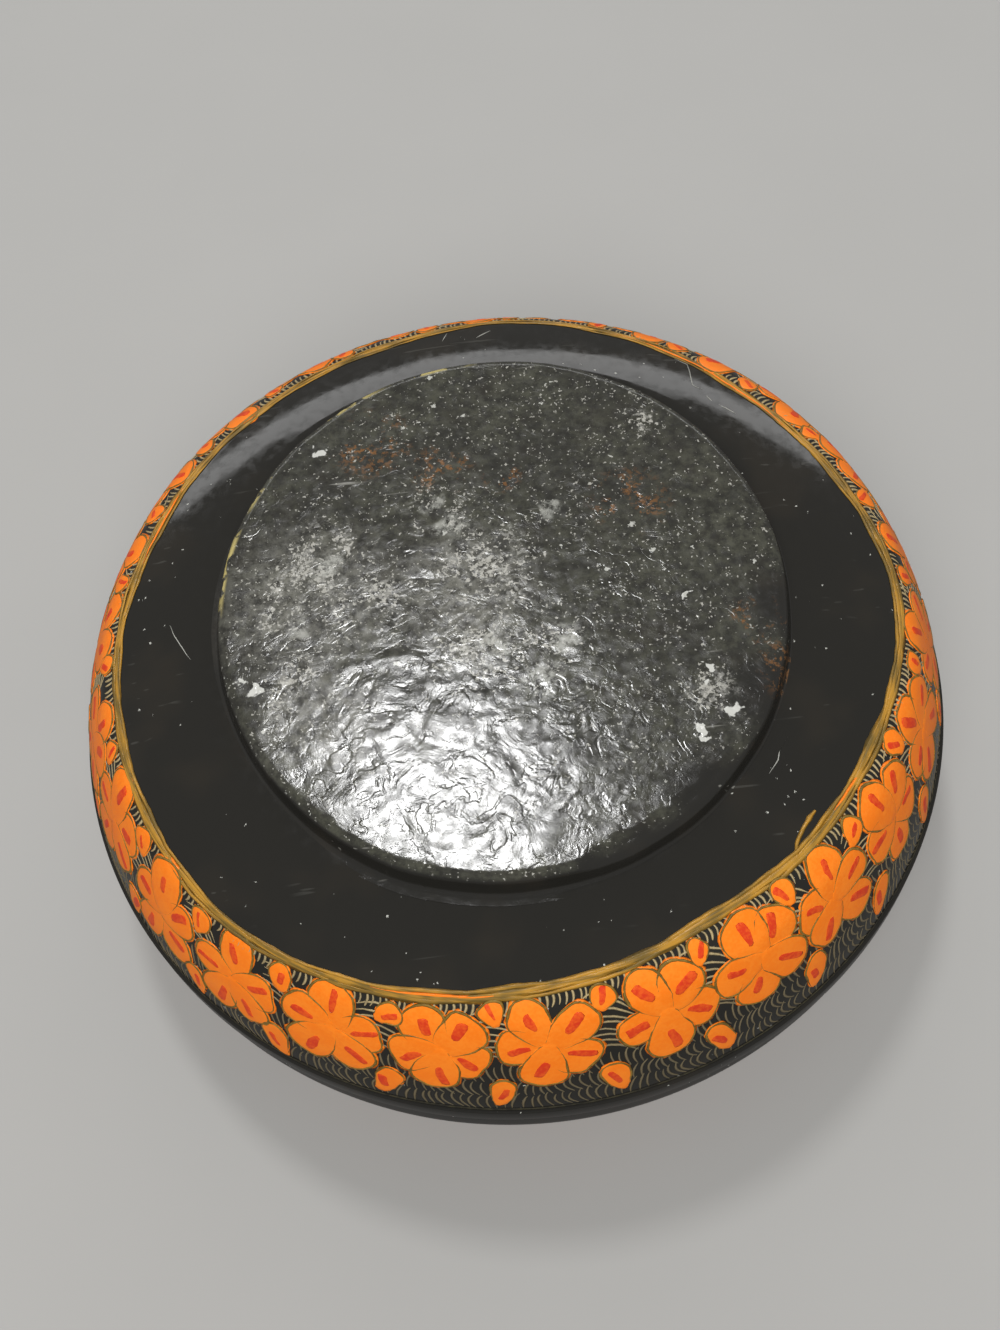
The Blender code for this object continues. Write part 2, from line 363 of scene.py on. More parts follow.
def mixed(tree, factor, low, high):
    """Colour between two others."""
    made = new_node(tree, "ShaderNodeMix", {"Factor": factor}, data_type="RGBA")
    colours = [index for index, socket in enumerate(made.inputs) if socket.type == "RGBA"]
    fill_inputs(tree, made, dict(zip(colours, (low, high))))
    return next(socket for socket in made.outputs if socket.type == "RGBA")


def new_group(name, kind, inputs, outputs):
    """Start a node group with named sockets; returns the tree, its given sockets and its results."""
    tree = bpy.data.node_groups.new(name, kind)
    for label, socket_type in inputs:
        tree.interface.new_socket(label, in_out="INPUT", socket_type=socket_type)
    for label, socket_type in outputs:
        tree.interface.new_socket(label, in_out="OUTPUT", socket_type=socket_type)
    given = tree.nodes.new("NodeGroupInput").outputs
    results = tree.nodes.new("NodeGroupOutput").inputs
    return tree, given, results


def group_once(name, build):
    """The node group of that name, built on first use."""
    return bpy.data.node_groups.get(name) or build(name)


def use_group(tree, name, build, inputs):
    """Put a node group into another tree and return its outputs."""
    kind = "GeometryNodeGroup" if tree.bl_idname == "GeometryNodeTree" else "ShaderNodeGroup"
    made = tree.nodes.new(kind)
    made.node_tree = group_once(name, build)
    fill_inputs(tree, made, inputs)
    return made.outputs


def build_hand_wobble(name):
    """Geometry group: shifts points across the flat drawing as an unsteady hand does."""
    tree, given, results = new_group(
        name, "GeometryNodeTree",
        [("Geometry", GEOMETRY), ("Amount", FLOAT), ("Wave", FLOAT), ("Seed", FLOAT)],
        [("Geometry", GEOMETRY)])
    place = new_node(tree, "GeometryNodeInputPosition").outputs[0]
    start = new_node(tree, "ShaderNodeCombineXYZ", {"Z": given["Seed"]}).outputs[0]
    flat_place = vector_calc(tree, "MULTIPLY", place, (1.0, 1.0, 0.0))
    start_place = vector_calc(tree, "ADD", flat_place, start)
    moods = noise(tree, start_place, waves(tree, given["Wave"]), 1.0)["Color"]
    centred = vector_calc(tree, "SUBTRACT", moods, (0.5, 0.5, 0.5))
    reach = calc(tree, "MULTIPLY", given["Amount"], 2.0)
    shift = vector_calc(tree, "MULTIPLY", centred,
                        new_node(tree, "ShaderNodeCombineXYZ", {"X": reach, "Y": reach}).outputs[0])
    moved = new_node(tree, "GeometryNodeSetPosition", {"Geometry": given["Geometry"], "Offset": shift})
    tree.links.new(moved.outputs[0], results["Geometry"])
    return tree


def build_petal_outline(name):
    """Geometry group: turns a unit circle or sphere into an egg from its base at 0 to its tip at 1."""
    tree, given, results = new_group(
        name, "GeometryNodeTree",
        [("Geometry", GEOMETRY), ("Taper", FLOAT), ("Square", FLOAT), ("Edge", FLOAT)],
        [("Geometry", GEOMETRY)])
    place = split(tree, new_node(tree, "GeometryNodeInputPosition").outputs[0])

    def swollen(value, power):
        size = calc(tree, "POWER", calc(tree, "ABSOLUTE", value), power)
        return calc(tree, "MULTIPLY", size, calc(tree, "SIGN", value))

    up = swollen(place["Y"], given["Square"])
    widen = calc(tree, "MULTIPLY_ADD", up, given["Taper"], 1.0)
    rooted = calc(tree, "MULTIPLY_ADD", calc(tree, "LESS_THAN", place["Z"], 0.0), 1.5, 1.0)
    egg = new_node(tree, "ShaderNodeCombineXYZ", {
        "X": calc(tree, "MULTIPLY", swollen(place["X"], given["Square"]), widen),
        "Y": calc(tree, "MULTIPLY_ADD", up, 0.5, 0.5),
        "Z": calc(tree, "MULTIPLY", swollen(place["Z"], given["Edge"]), rooted)}).outputs[0]
    moved = new_node(tree, "GeometryNodeSetPosition", {"Geometry": given["Geometry"], "Position": egg})
    tree.links.new(moved.outputs[0], results["Geometry"])
    return tree


def build_stroke_body(name):
    """Geometry group: gives brush paths a flattened body whose width follows the brush's pressure."""
    tree, given, results = new_group(
        name, "GeometryNodeTree",
        [("Curve", GEOMETRY), ("Width", FLOAT), ("Flatness", FLOAT), ("Ends", FLOAT),
         ("Patchiness", FLOAT), ("Patch", FLOAT)],
        [("Mesh", GEOMETRY)])
    upright = new_node(tree, "GeometryNodeSetCurveNormal", {"Curve": given["Curve"]}, mode="Z_UP")
    along = new_node(tree, "GeometryNodeSplineParameter").outputs["Factor"]
    from_end = calc(tree, "MINIMUM", along, calc(tree, "SUBTRACT", 1.0, along))
    press = eased(tree, from_end, 0.0, 0.3)
    press = calc(tree, "MULTIPLY_ADD", press, calc(tree, "SUBTRACT", 1.0, given["Ends"]), given["Ends"])
    place = new_node(tree, "GeometryNodeInputPosition").outputs[0]
    moods = noise(tree, place, waves(tree, given["Patch"]), 2.0)["Fac"]
    patchy = calc(tree, "MULTIPLY_ADD", calc(tree, "SUBTRACT", moods, 0.5), given["Patchiness"], 1.0)
    pressed = product(tree, press, calc(tree, "MAXIMUM", patchy, 0.15))
    half = product(tree, product(tree, given["Width"], 0.5), pressed)
    ring = new_node(tree, "GeometryNodeCurvePrimitiveCircle", {"Resolution": 4, "Radius": 1.0})
    section = new_node(tree, "GeometryNodeTransform", {
        "Geometry": ring.outputs["Curve"],
        "Scale": new_node(tree, "ShaderNodeCombineXYZ",
                          {"X": 1.0, "Y": given["Flatness"], "Z": 1.0}).outputs[0]})
    body = new_node(tree, "GeometryNodeCurveToMesh", {
        "Curve": upright.outputs[0], "Profile Curve": section.outputs[0], "Scale": half, "Fill Caps": True})
    tree.links.new(body.outputs[0], results["Mesh"])
    return tree


def finish_tree(tree, results, geometry, material):
    """End a tree with smooth faces, real geometry and its material."""
    smooth = new_node(tree, "GeometryNodeSetShadeSmooth", {"Geometry": geometry})
    real = new_node(tree, "GeometryNodeRealizeInstances", {"Geometry": smooth.outputs[0]})
    coated = new_node(tree, "GeometryNodeSetMaterial", {"Geometry": real.outputs[0], "Material": material})
    tree.links.new(coated.outputs[0], results["Geometry"])
    return tree


def named_value(tree, name, data_type):
    """A value that each mark carries."""
    return new_node(tree, "GeometryNodeInputNamedAttribute", {"Name": name}, data_type=data_type).outputs[0]


def put_on_marks(tree, marks, shape):
    """Copies of a shape on the marks, each at its own turn and size."""
    turn = new_node(tree, "ShaderNodeCombineXYZ", {"Z": named_value(tree, "turn", "FLOAT")}).outputs[0]
    placed = new_node(tree, "GeometryNodeInstanceOnPoints", {
        "Points": marks, "Instance": shape,
        "Rotation": new_node(tree, "FunctionNodeEulerToRotation", {0: turn}).outputs[0],
        "Scale": named_value(tree, "size", "FLOAT_VECTOR")})
    return new_node(tree, "GeometryNodeRealizeInstances", {"Geometry": placed.outputs[0]}).outputs[0]


def wobbled(tree, geometry, amount, wave, seed):
    """Geometry shifted by an unsteady hand."""
    return use_group(tree, "Hand wobble", build_hand_wobble, {
        "Geometry": geometry, "Amount": amount, "Wave": wave, "Seed": seed})[0]


def build_paint_dabs(name):
    """Tree: rounded dabs of paint on marks, for petals, buds and the red dabs in them."""
    tree, given, results = new_group(
        name, "GeometryNodeTree",
        [("Marks", GEOMETRY), ("Taper", FLOAT), ("Square", FLOAT), ("Edge", FLOAT), ("Segments", INTEGER),
         ("Rings", INTEGER), ("Wobble", FLOAT), ("Wave", FLOAT), ("Fray", FLOAT), ("Seed", FLOAT),
         ("Material", MATERIAL)],
        [("Geometry", GEOMETRY)])
    ball = new_node(tree, "GeometryNodeMeshUVSphere",
                    {"Segments": given["Segments"], "Rings": given["Rings"], "Radius": 1.0})
    egg = use_group(tree, "Petal outline", build_petal_outline, {
        "Geometry": ball.outputs["Mesh"], "Taper": given["Taper"], "Square": given["Square"],
        "Edge": given["Edge"]})[0]
    dabs = put_on_marks(tree, given["Marks"], egg)
    dabs = wobbled(tree, dabs, given["Wobble"], given["Wave"], given["Seed"])
    frayed = wobbled(tree, dabs, given["Fray"], 0.5 * MM, given["Seed"])
    return finish_tree(tree, results, frayed, given["Material"])


def build_petal_lines(name):
    """Tree: brush lines round petals and buds, with a gap where the petal meets the flower's middle."""
    tree, given, results = new_group(
        name, "GeometryNodeTree",
        [("Marks", GEOMETRY), ("Taper", FLOAT), ("Square", FLOAT), ("Gap", FLOAT), ("Reach", FLOAT),
         ("Width", FLOAT), ("Flatness", FLOAT), ("Patchiness", FLOAT), ("Wobble", FLOAT), ("Wave", FLOAT),
         ("Seed", FLOAT), ("Material", MATERIAL)],
        [("Geometry", GEOMETRY)])
    path = new_node(tree, "GeometryNodeCurveArc", {
        "Resolution": 26, "Radius": given["Reach"],
        "Start Angle": calc(tree, "MULTIPLY_ADD", given["Gap"], 0.5, -math.pi / 2),
        "Sweep Angle": calc(tree, "SUBTRACT", math.tau, given["Gap"])}, mode="RADIUS")
    egg = use_group(tree, "Petal outline", build_petal_outline, {
        "Geometry": path.outputs["Curve"], "Taper": given["Taper"], "Square": given["Square"],
        "Edge": 1.0})[0]
    paths = put_on_marks(tree, given["Marks"], egg)
    paths = wobbled(tree, paths, given["Wobble"], given["Wave"], given["Seed"])
    body = use_group(tree, "Stroke body", build_stroke_body, {
        "Curve": paths, "Width": given["Width"], "Flatness": given["Flatness"], "Ends": 0.3,
        "Patchiness": given["Patchiness"], "Patch": 2.4 * MM})[0]
    return finish_tree(tree, results, body, given["Material"])


def build_hatching(name):
    """Tree: short bent brush strokes on marks."""
    tree, given, results = new_group(
        name, "GeometryNodeTree",
        [("Marks", GEOMETRY), ("Flatness", FLOAT), ("Wobble", FLOAT), ("Wave", FLOAT), ("Seed", FLOAT),
         ("Material", MATERIAL)],
        [("Geometry", GEOMETRY)])
    path = new_node(tree, "GeometryNodeCurveQuadraticBezier", {
        "Resolution": 6, "Start": (0.0, 0.5, 0.0), "Middle": (1.0, 0.1, 0.0), "End": (0.0, -0.5, 0.0)})
    paths = put_on_marks(tree, given["Marks"], path.outputs["Curve"])
    paths = wobbled(tree, paths, given["Wobble"], given["Wave"], given["Seed"])
    body = use_group(tree, "Stroke body", build_stroke_body, {
        "Curve": paths, "Width": named_value(tree, "width", "FLOAT"), "Flatness": given["Flatness"],
        "Ends": 0.4, "Patchiness": 0.7, "Patch": 2.0 * MM})[0]
    return finish_tree(tree, results, body, given["Material"])


def build_brush_line(name):
    """Tree: a long brush line along a drawn path."""
    tree, given, results = new_group(
        name, "GeometryNodeTree",
        [("Path", GEOMETRY), ("Flatness", FLOAT), ("Ends", FLOAT), ("Patchiness", FLOAT),
         ("Wobble", FLOAT), ("Wave", FLOAT), ("Seed", FLOAT), ("Material", MATERIAL)],
        [("Geometry", GEOMETRY)])
    path = new_node(tree, "GeometryNodeMeshToCurve", {"Mesh": given["Path"]})
    paths = wobbled(tree, path.outputs[0], given["Wobble"], given["Wave"], given["Seed"])
    body = use_group(tree, "Stroke body", build_stroke_body, {
        "Curve": paths, "Width": named_value(tree, "width", "FLOAT"), "Flatness": given["Flatness"],
        "Ends": given["Ends"], "Patchiness": given["Patchiness"], "Patch": 4.0 * MM})[0]
    return finish_tree(tree, results, body, given["Material"])


def build_wrinkled_lacquer(name):
    """Tree: folds and grain raised on the foot, fading out where it meets the base."""
    tree, given, results = new_group(
        name, "GeometryNodeTree",
        [("Geometry", GEOMETRY), ("Fold", FLOAT), ("Fold height", FLOAT), ("Grain", FLOAT),
         ("Grain height", FLOAT), ("Cut", FLOAT), ("Seed", FLOAT), ("Low", FLOAT), ("High", FLOAT),
         ("Material", MATERIAL)],
        [("Geometry", GEOMETRY)])
    cut = wobbled(tree, given["Geometry"], given["Cut"], 16.0 * MM, given["Seed"])
    place = new_node(tree, "GeometryNodeInputPosition").outputs[0]
    free = eased(tree, split(tree, place)["Z"], given["Low"], given["High"])
    folds = noise(tree, place, waves(tree, given["Fold"]), 3.0, roughness=0.55, distortion=0.9)["Fac"]
    grain = noise(tree, place, waves(tree, given["Grain"]), 2.0, distortion=1.4)["Fac"]
    crease = calc(tree, "ABSOLUTE", calc(tree, "SUBTRACT", grain, 0.5))
    rise = calc(tree, "MULTIPLY", calc(tree, "SUBTRACT", folds, 0.5), given["Fold height"])
    rise = calc(tree, "MULTIPLY_ADD", crease, given["Grain height"], rise)
    outward = new_node(tree, "GeometryNodeInputNormal").outputs[0]
    push = scaled(tree, outward, calc(tree, "MULTIPLY", rise, free))
    moved = new_node(tree, "GeometryNodeSetPosition", {"Geometry": cut, "Offset": push})
    return finish_tree(tree, results, moved.outputs[0], given["Material"])


def grown(source_mesh, tree_name, build, values):
    """Run a tree on a source mesh and return what it makes as a plain mesh."""
    source = bpy.data.objects.new(source_mesh.name, source_mesh)
    tree = group_once(tree_name, build)
    modifier = source.modifiers.new(tree_name, "NODES")
    modifier.node_group = tree
    for socket in tree.interface.items_tree:
        if socket.in_out == "INPUT" and socket.name in values:
            modifier[socket.identifier] = values[socket.name]
    bpy.context.scene.collection.objects.link(source)
    evaluated = source.evaluated_get(bpy.context.evaluated_depsgraph_get())
    made = bpy.data.meshes.new_from_object(evaluated)
    source.modifiers.remove(modifier)
    bpy.data.objects.remove(source)
    bpy.data.meshes.remove(source_mesh)
    if not made.polygons:
        raise RuntimeError(f"{tree_name} made no faces")
    return made


def rounded(before, corner, after, radius, steps):
    """Points of the arc that rounds a corner of an outline, from the before side to the after side."""
    corner = Vector(corner)
    inward = (Vector(before) - corner).normalized()
    onward = (Vector(after) - corner).normalized()
    half_turn = inward.angle(onward) / 2
    centre = corner + (inward + onward).normalized() * (radius / math.sin(half_turn))
    start = corner + inward * (radius / math.tan(half_turn)) - centre
    end = corner + onward * (radius / math.tan(half_turn)) - centre
    sweep = start.angle_signed(end)
    return [tuple(centre + Matrix.Rotation(-sweep * step / steps, 2) @ start) for step in range(steps + 1)]


def arc(centre, radius, start, end, steps):
    """Points of an arc of an outline between two angles."""
    angles = [start + (end - start) * step / steps for step in range(steps + 1)]
    return [(centre.x + radius * math.cos(each), centre.y + radius * math.sin(each)) for each in angles]


def straight(start, end, steps):
    """Points along a straight run of an outline, without its end."""
    return [tuple(Vector(start).lerp(Vector(end), step / steps)) for step in range(steps)]


def meet(point_a, direction_a, point_b, direction_b):
    """Where two straight runs of an outline cross."""
    across = direction_a[0] * direction_b[1] - direction_a[1] * direction_b[0]
    offset = (point_b[0] - point_a[0], point_b[1] - point_a[1])
    reach = (offset[0] * direction_b[1] - offset[1] * direction_b[0]) / across
    return (point_a[0] + reach * direction_a[0], point_a[1] + reach * direction_a[1])


class Skin:
    """Outside of a wall as seen by the painter: radius, height and lean at each distance down it."""

    def __init__(self, outline, start, way):
        points = np.array(outline)
        steps = np.hypot(*np.diff(points, axis=0).T)
        self.radius, self.height = points.T
        self.down = np.concatenate([[0.0], np.cumsum(steps)])
        self.down -= self.down[start]
        run = np.gradient(points, self.down, axis=0)
        run /= np.hypot(*run.T)[:, None]
        self.out_radius = -run[:, 1] * way
        self.out_height = run[:, 0] * way
        self.way = way

    def at(self, down):
        """Radius, height and outward direction at distances down the wall."""
        return [np.interp(down, self.down, values)
                for values in (self.radius, self.height, self.out_radius, self.out_height)]


def base_centres(shape):
    """Centres of the base's side and shoulder arcs, and the angle at which they meet."""
    side_foot = Vector((shape.rim_radius - shape.rim_step, shape.mouth_height + shape.rim_band))
    lean = Vector((math.cos(shape.side_lean), math.sin(shape.side_lean)))
    side_centre = side_foot - lean * shape.side_radius
    along = Vector((math.cos(shape.ring_slope), -math.sin(shape.ring_slope)))
    below = Vector((along.y, -along.x)) * shape.shoulder_radius
    start = Vector((shape.seat_radius, shape.seat_height)) + below - side_centre
    spread = start.dot(along) ** 2 - start.length_squared + (shape.side_radius - shape.shoulder_radius) ** 2
    turn_centre = side_centre + start + along * (math.sqrt(spread) - start.dot(along))
    meeting = math.atan2(*(turn_centre - side_centre).yx)
    return side_centre, turn_centre, meeting


def base_outside(shape):
    """Ring, shoulder and side of the base, from the foot's seat down, and where the shoulder starts."""
    side_centre, turn_centre, meeting = base_centres(shape)
    shoulder = arc(turn_centre, shape.shoulder_radius, math.pi / 2 - shape.ring_slope, meeting, 24)
    ring_steps = 12
    slope = straight((shape.seat_radius, shape.seat_height), shoulder[0], ring_steps)
    ring = [(radius, height + shape.ring_bulge * math.sin(math.pi * step / ring_steps))
            for step, (radius, height) in enumerate(slope)]
    side = arc(side_centre, shape.side_radius, meeting, shape.side_lean, 40)
    return ring + shoulder + side[1:], len(ring)


def lid_outside(shape):
    """Band, side, shoulder and crown of the lid, from its mouth down to the flat of the crown."""
    side_run = (-math.sin(shape.lid_lean), -math.cos(shape.lid_lean))
    slope_run = (math.cos(shape.crown_slope), math.sin(shape.crown_slope))
    mouth = (shape.lid_bore, shape.lid_height)
    rim = (shape.lid_radius, shape.lid_height)
    band_foot = (shape.lid_radius, shape.lid_height - shape.lid_band)
    crown_edge = (shape.crown_radius, 0.0)
    shoulder = meet(crown_edge, slope_run, band_foot, side_run)
    outline = rounded(mouth, rim, band_foot, shape.mouth_round, 5)
    turn = rounded(rim, band_foot, shoulder, shape.lid_band_radius, 12)
    outline += straight(outline[-1], turn[0], 4)[1:] + turn
    turn = rounded(band_foot, shoulder, crown_edge, shape.lid_shoulder_radius, 24)
    outline += straight(outline[-1], turn[0], 12)[1:] + turn
    start = len(outline) - 1
    turn = rounded(shoulder, crown_edge, (0.0, 0.0), shape.crown_round, 24)
    outline += straight(outline[-1], turn[0], 12)[1:] + turn
    return outline, start


def smooth_step(values):
    """Values eased from 0 to 1."""
    values = np.clip(values, 0.0, 1.0)
    return values * values * (3.0 - 2.0 * values)


def crown_hollow(shape):
    """Outline of the shallow hollow in the lid's crown, from its edge to the middle."""
    edge = lid_outside(shape)[0][-1][0]
    steps = 10
    slope_steps = 6
    return [(edge * (1 - step / steps), shape.crown_dish * float(smooth_step(step / slope_steps)))
            for step in range(steps + 1)]


def hand_made(points, shape, free_height, phase):
    """Bend points as hand moulding does: a little out of round, and uneven above the free height."""
    turn = np.arctan2(points[:, 1], points[:, 0]) + phase
    swell = np.cos(2 * turn + 0.7) + 0.6 * np.cos(3 * turn - 1.1)
    rise = np.cos(turn - 0.4) + 0.7 * np.cos(3 * turn + 2.0) + 0.5 * np.cos(5 * turn)
    free = smooth_step((points[:, 2] - free_height) / (10.0 * MM))
    bent = points.copy()
    bent[:, :2] *= 1.0 + (swell * shape.unevenness * 0.5 / shape.rim_radius)[:, None]
    bent[:, 2] += rise * shape.unevenness * 0.6 * free
    return bent


def read_points(mesh):
    """Places of a mesh's points, a row for each."""
    points = np.empty(len(mesh.vertices) * 3)
    mesh.vertices.foreach_get("co", points)
    return points.reshape(-1, 3)


def write_points(mesh, points):
    """Move a mesh's points."""
    mesh.vertices.foreach_set("co", points.ravel())
    mesh.update()


def turned(name, outline, segments, closed=False):
    """Spin an outline about the Z axis into a closed shell with outward faces."""
    points = []
    rings = []
    for radius, height in outline:
        first = len(points)
        if radius < 0.001 * MM:
            points.append((0.0, 0.0, height))
            rings.append([first] * segments)
        else:
            for step in range(segments):
                turn = math.tau * step / segments
                points.append((radius * math.cos(turn), radius * math.sin(turn), height))
            rings.append(range(first, first + segments))
    pairs = list(zip(rings, rings[1:] + rings[:1] if closed else rings[1:]))
    loop = list(zip(outline, outline[1:] + outline[:1]))
    clockwise = sum(here[0] * there[1] - there[0] * here[1] for here, there in loop) < 0
    faces = []
    for upper, lower in pairs:
        for step in range(segments):
            after = (step + 1) % segments
            corners = list(dict.fromkeys((upper[step], lower[step], lower[after], upper[after])))
            faces.append(corners if clockwise else corners[::-1])
    mesh = bpy.data.meshes.new(name)
    mesh.from_pydata(points, [], faces)
    mesh.validate()
    mesh.shade_smooth()
    mesh.set_sharp_from_angle(angle=math.radians(40))
    return mesh


def add_piece(name, mesh, material, body, replaced=None):
    """Link a finished mesh as a piece that rides on a body of the frame."""
    piece = bpy.data.objects.new(name, mesh)
    mesh.name = name
    mesh.materials.clear()
    mesh.materials.append(material)
    bpy.context.scene.collection.objects.link(piece)
    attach(piece, body)
    if replaced:
        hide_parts(replaced)


def object_place(tree):
    """Where a point lies in the frame."""
    return new_node(tree, "ShaderNodeTexCoord").outputs["Object"]


def drawn_place(tree):
    """Where a point of the brushwork lies in the flat drawing."""
    return new_node(tree, "ShaderNodeAttribute", attribute_name="drawn").outputs["Vector"]


def build_specks(name):
    """Shader group: a mask of scattered specks that gather in patches."""
    tree, given, results = new_group(
        name, "ShaderNodeTree",
        [("Vector", VECTOR), ("Spacing", FLOAT), ("Share", FLOAT), ("Patch", FLOAT)], [("Mask", FLOAT)])
    ragged = noise(tree, given["Vector"], calc(tree, "DIVIDE", 2.5, given["Spacing"]), 1.0)["Color"]
    shift = scaled(tree, vector_calc(tree, "SUBTRACT", ragged, (0.5, 0.5, 0.5)), given["Spacing"])
    cells = new_node(tree, "ShaderNodeTexVoronoi", {
        "Vector": vector_calc(tree, "ADD", given["Vector"], shift),
        "Scale": waves(tree, given["Spacing"])})
    patch = noise(tree, given["Vector"], waves(tree, given["Patch"]), 2.0)["Fac"]
    gather = eased(tree, patch, 0.42, 0.66)
    pick = new_node(tree, "ShaderNodeSeparateColor", {0: cells.outputs["Color"]}).outputs
    kept = calc(tree, "LESS_THAN", pick[0], calc(tree, "MULTIPLY", gather, given["Share"]))
    reach = calc(tree, "MULTIPLY_ADD", pick[1], 0.26, 0.1)
    spot = calc(tree, "LESS_THAN", cells.outputs["Distance"], reach)
    tree.links.new(calc(tree, "MULTIPLY", kept, spot), results["Mask"])
    return tree


def build_brushed_paint(name):
    """Shader group: paint laid by brush, thin in places, with streaks that follow the stretch."""
    tree, given, results = new_group(
        name, "ShaderNodeTree",
        [("Vector", VECTOR), ("Stretch", VECTOR), ("Paint", COLOUR), ("Thin", COLOUR), ("Blotch", FLOAT),
         ("Streak", FLOAT), ("Contrast", FLOAT)],
        [("Color", COLOUR), ("Roughness", FLOAT), ("Height", FLOAT)])
    place = vector_calc(tree, "MULTIPLY", given["Vector"], given["Stretch"])
    blotch = noise(tree, given["Vector"], waves(tree, given["Blotch"]), 3.0)["Fac"]
    streak = noise(tree, place, waves(tree, given["Streak"]), 2.0)["Fac"]
    both = calc(tree, "MULTIPLY_ADD", streak, 0.5, calc(tree, "MULTIPLY", blotch, 0.5))
    thin = calc(tree, "MULTIPLY", eased(tree, both, 0.40, 0.62), given["Contrast"])
    tree.links.new(mixed(tree, thin, given["Paint"], given["Thin"]), results["Color"])
    tree.links.new(eased(tree, streak, 0.3, 0.7, 0.28, 0.46), results["Roughness"])
    tree.links.new(both, results["Height"])
    return tree


def build_uneven_lacquer(name):
    """Shader group: lacquer with thin brown places, fine scratches and a slow ripple."""
    tree, given, results = new_group(
        name, "ShaderNodeTree",
        [("Vector", VECTOR), ("Lacquer", COLOUR), ("Brown", COLOUR), ("Scratch", COLOUR),
         ("Scratches", FLOAT), ("Ripple", FLOAT), ("Smooth", FLOAT), ("Dull", FLOAT)],
        [("Color", COLOUR), ("Roughness", FLOAT), ("Height", FLOAT)])
    slow = noise(tree, given["Vector"], waves(tree, given["Ripple"]), 2.0)["Fac"]
    fine = noise(tree, given["Vector"], 900.0, 3.0)["Fac"]
    colour = mixed(tree, eased(tree, slow, 0.48, 0.72), given["Lacquer"], given["Brown"])
    turned_place = new_node(tree, "ShaderNodeMapping", {
        "Vector": given["Vector"], "Rotation": (0.3, 0.5, 0.9), "Scale": (60.0, 900.0, 900.0)}).outputs[0]
    hair = noise(tree, turned_place, 1.6, 1.0)["Fac"]
    patch = noise(tree, given["Vector"], 110.0, 1.0)["Fac"]
    scratch = product(tree, eased(tree, hair, 0.70, 0.76), eased(tree, patch, 0.5, 0.64),
                      given["Scratches"])
    tree.links.new(mixed(tree, scratch, colour, given["Scratch"]), results["Color"])
    rough = eased(tree, fine, 0.35, 0.7)
    rough = calc(tree, "MULTIPLY_ADD", rough, calc(tree, "SUBTRACT", given["Dull"], given["Smooth"]),
                 given["Smooth"])
    tree.links.new(calc(tree, "MULTIPLY_ADD", scratch, 0.2, rough), results["Roughness"])
    tree.links.new(slow, results["Height"])
    return tree


def start_material(name):
    """A new material and its shader."""
    material = bpy.data.materials.new(name)
    material.use_nodes = True
    return material, material.node_tree, material.node_tree.nodes["Principled BSDF"]


def fill_shader(tree, shader, **inputs):
    """Set or link sockets of a shader, named with _ for a space."""
    fill_inputs(tree, shader, {name.replace("_", " "): value for name, value in inputs.items()})


def bump(tree, height, depth, below=None):
    """Normal raised by a height of 0 to 1 over a depth in metres, on top of another normal."""
    inputs = {"Height": height, "Distance": depth, "Strength": 1.0}
    if below is not None:
        inputs["Normal"] = below
    return new_node(tree, "ShaderNodeBump", inputs).outputs[0]


def black_lacquer(finish, name, speck_share):
    """Glossy black lacquer with dust specks."""
    material, tree, shader = start_material(name)
    place = object_place(tree)
    coat = use_group(tree, "Uneven lacquer", build_uneven_lacquer, {
        "Vector": place, "Lacquer": finish.lacquer, "Brown": finish.lacquer_brown, "Scratch": finish.dust,
        "Scratches": 0.06, "Ripple": 9.0 * MM, "Smooth": 0.06, "Dull": 0.15})
    specks = use_group(tree, "Specks", build_specks, {
        "Vector": place, "Spacing": 0.4 * MM, "Share": speck_share, "Patch": 12.0 * MM})[0]
    fill_shader(tree, shader, Base_Color=mixed(tree, specks, coat["Color"], finish.dust),
                Roughness=calc(tree, "MULTIPLY_ADD", specks, 0.4, coat["Roughness"]),
                Normal=bump(tree, coat["Height"], 0.06 * MM), Specular_IOR_Level=0.32)
    return material


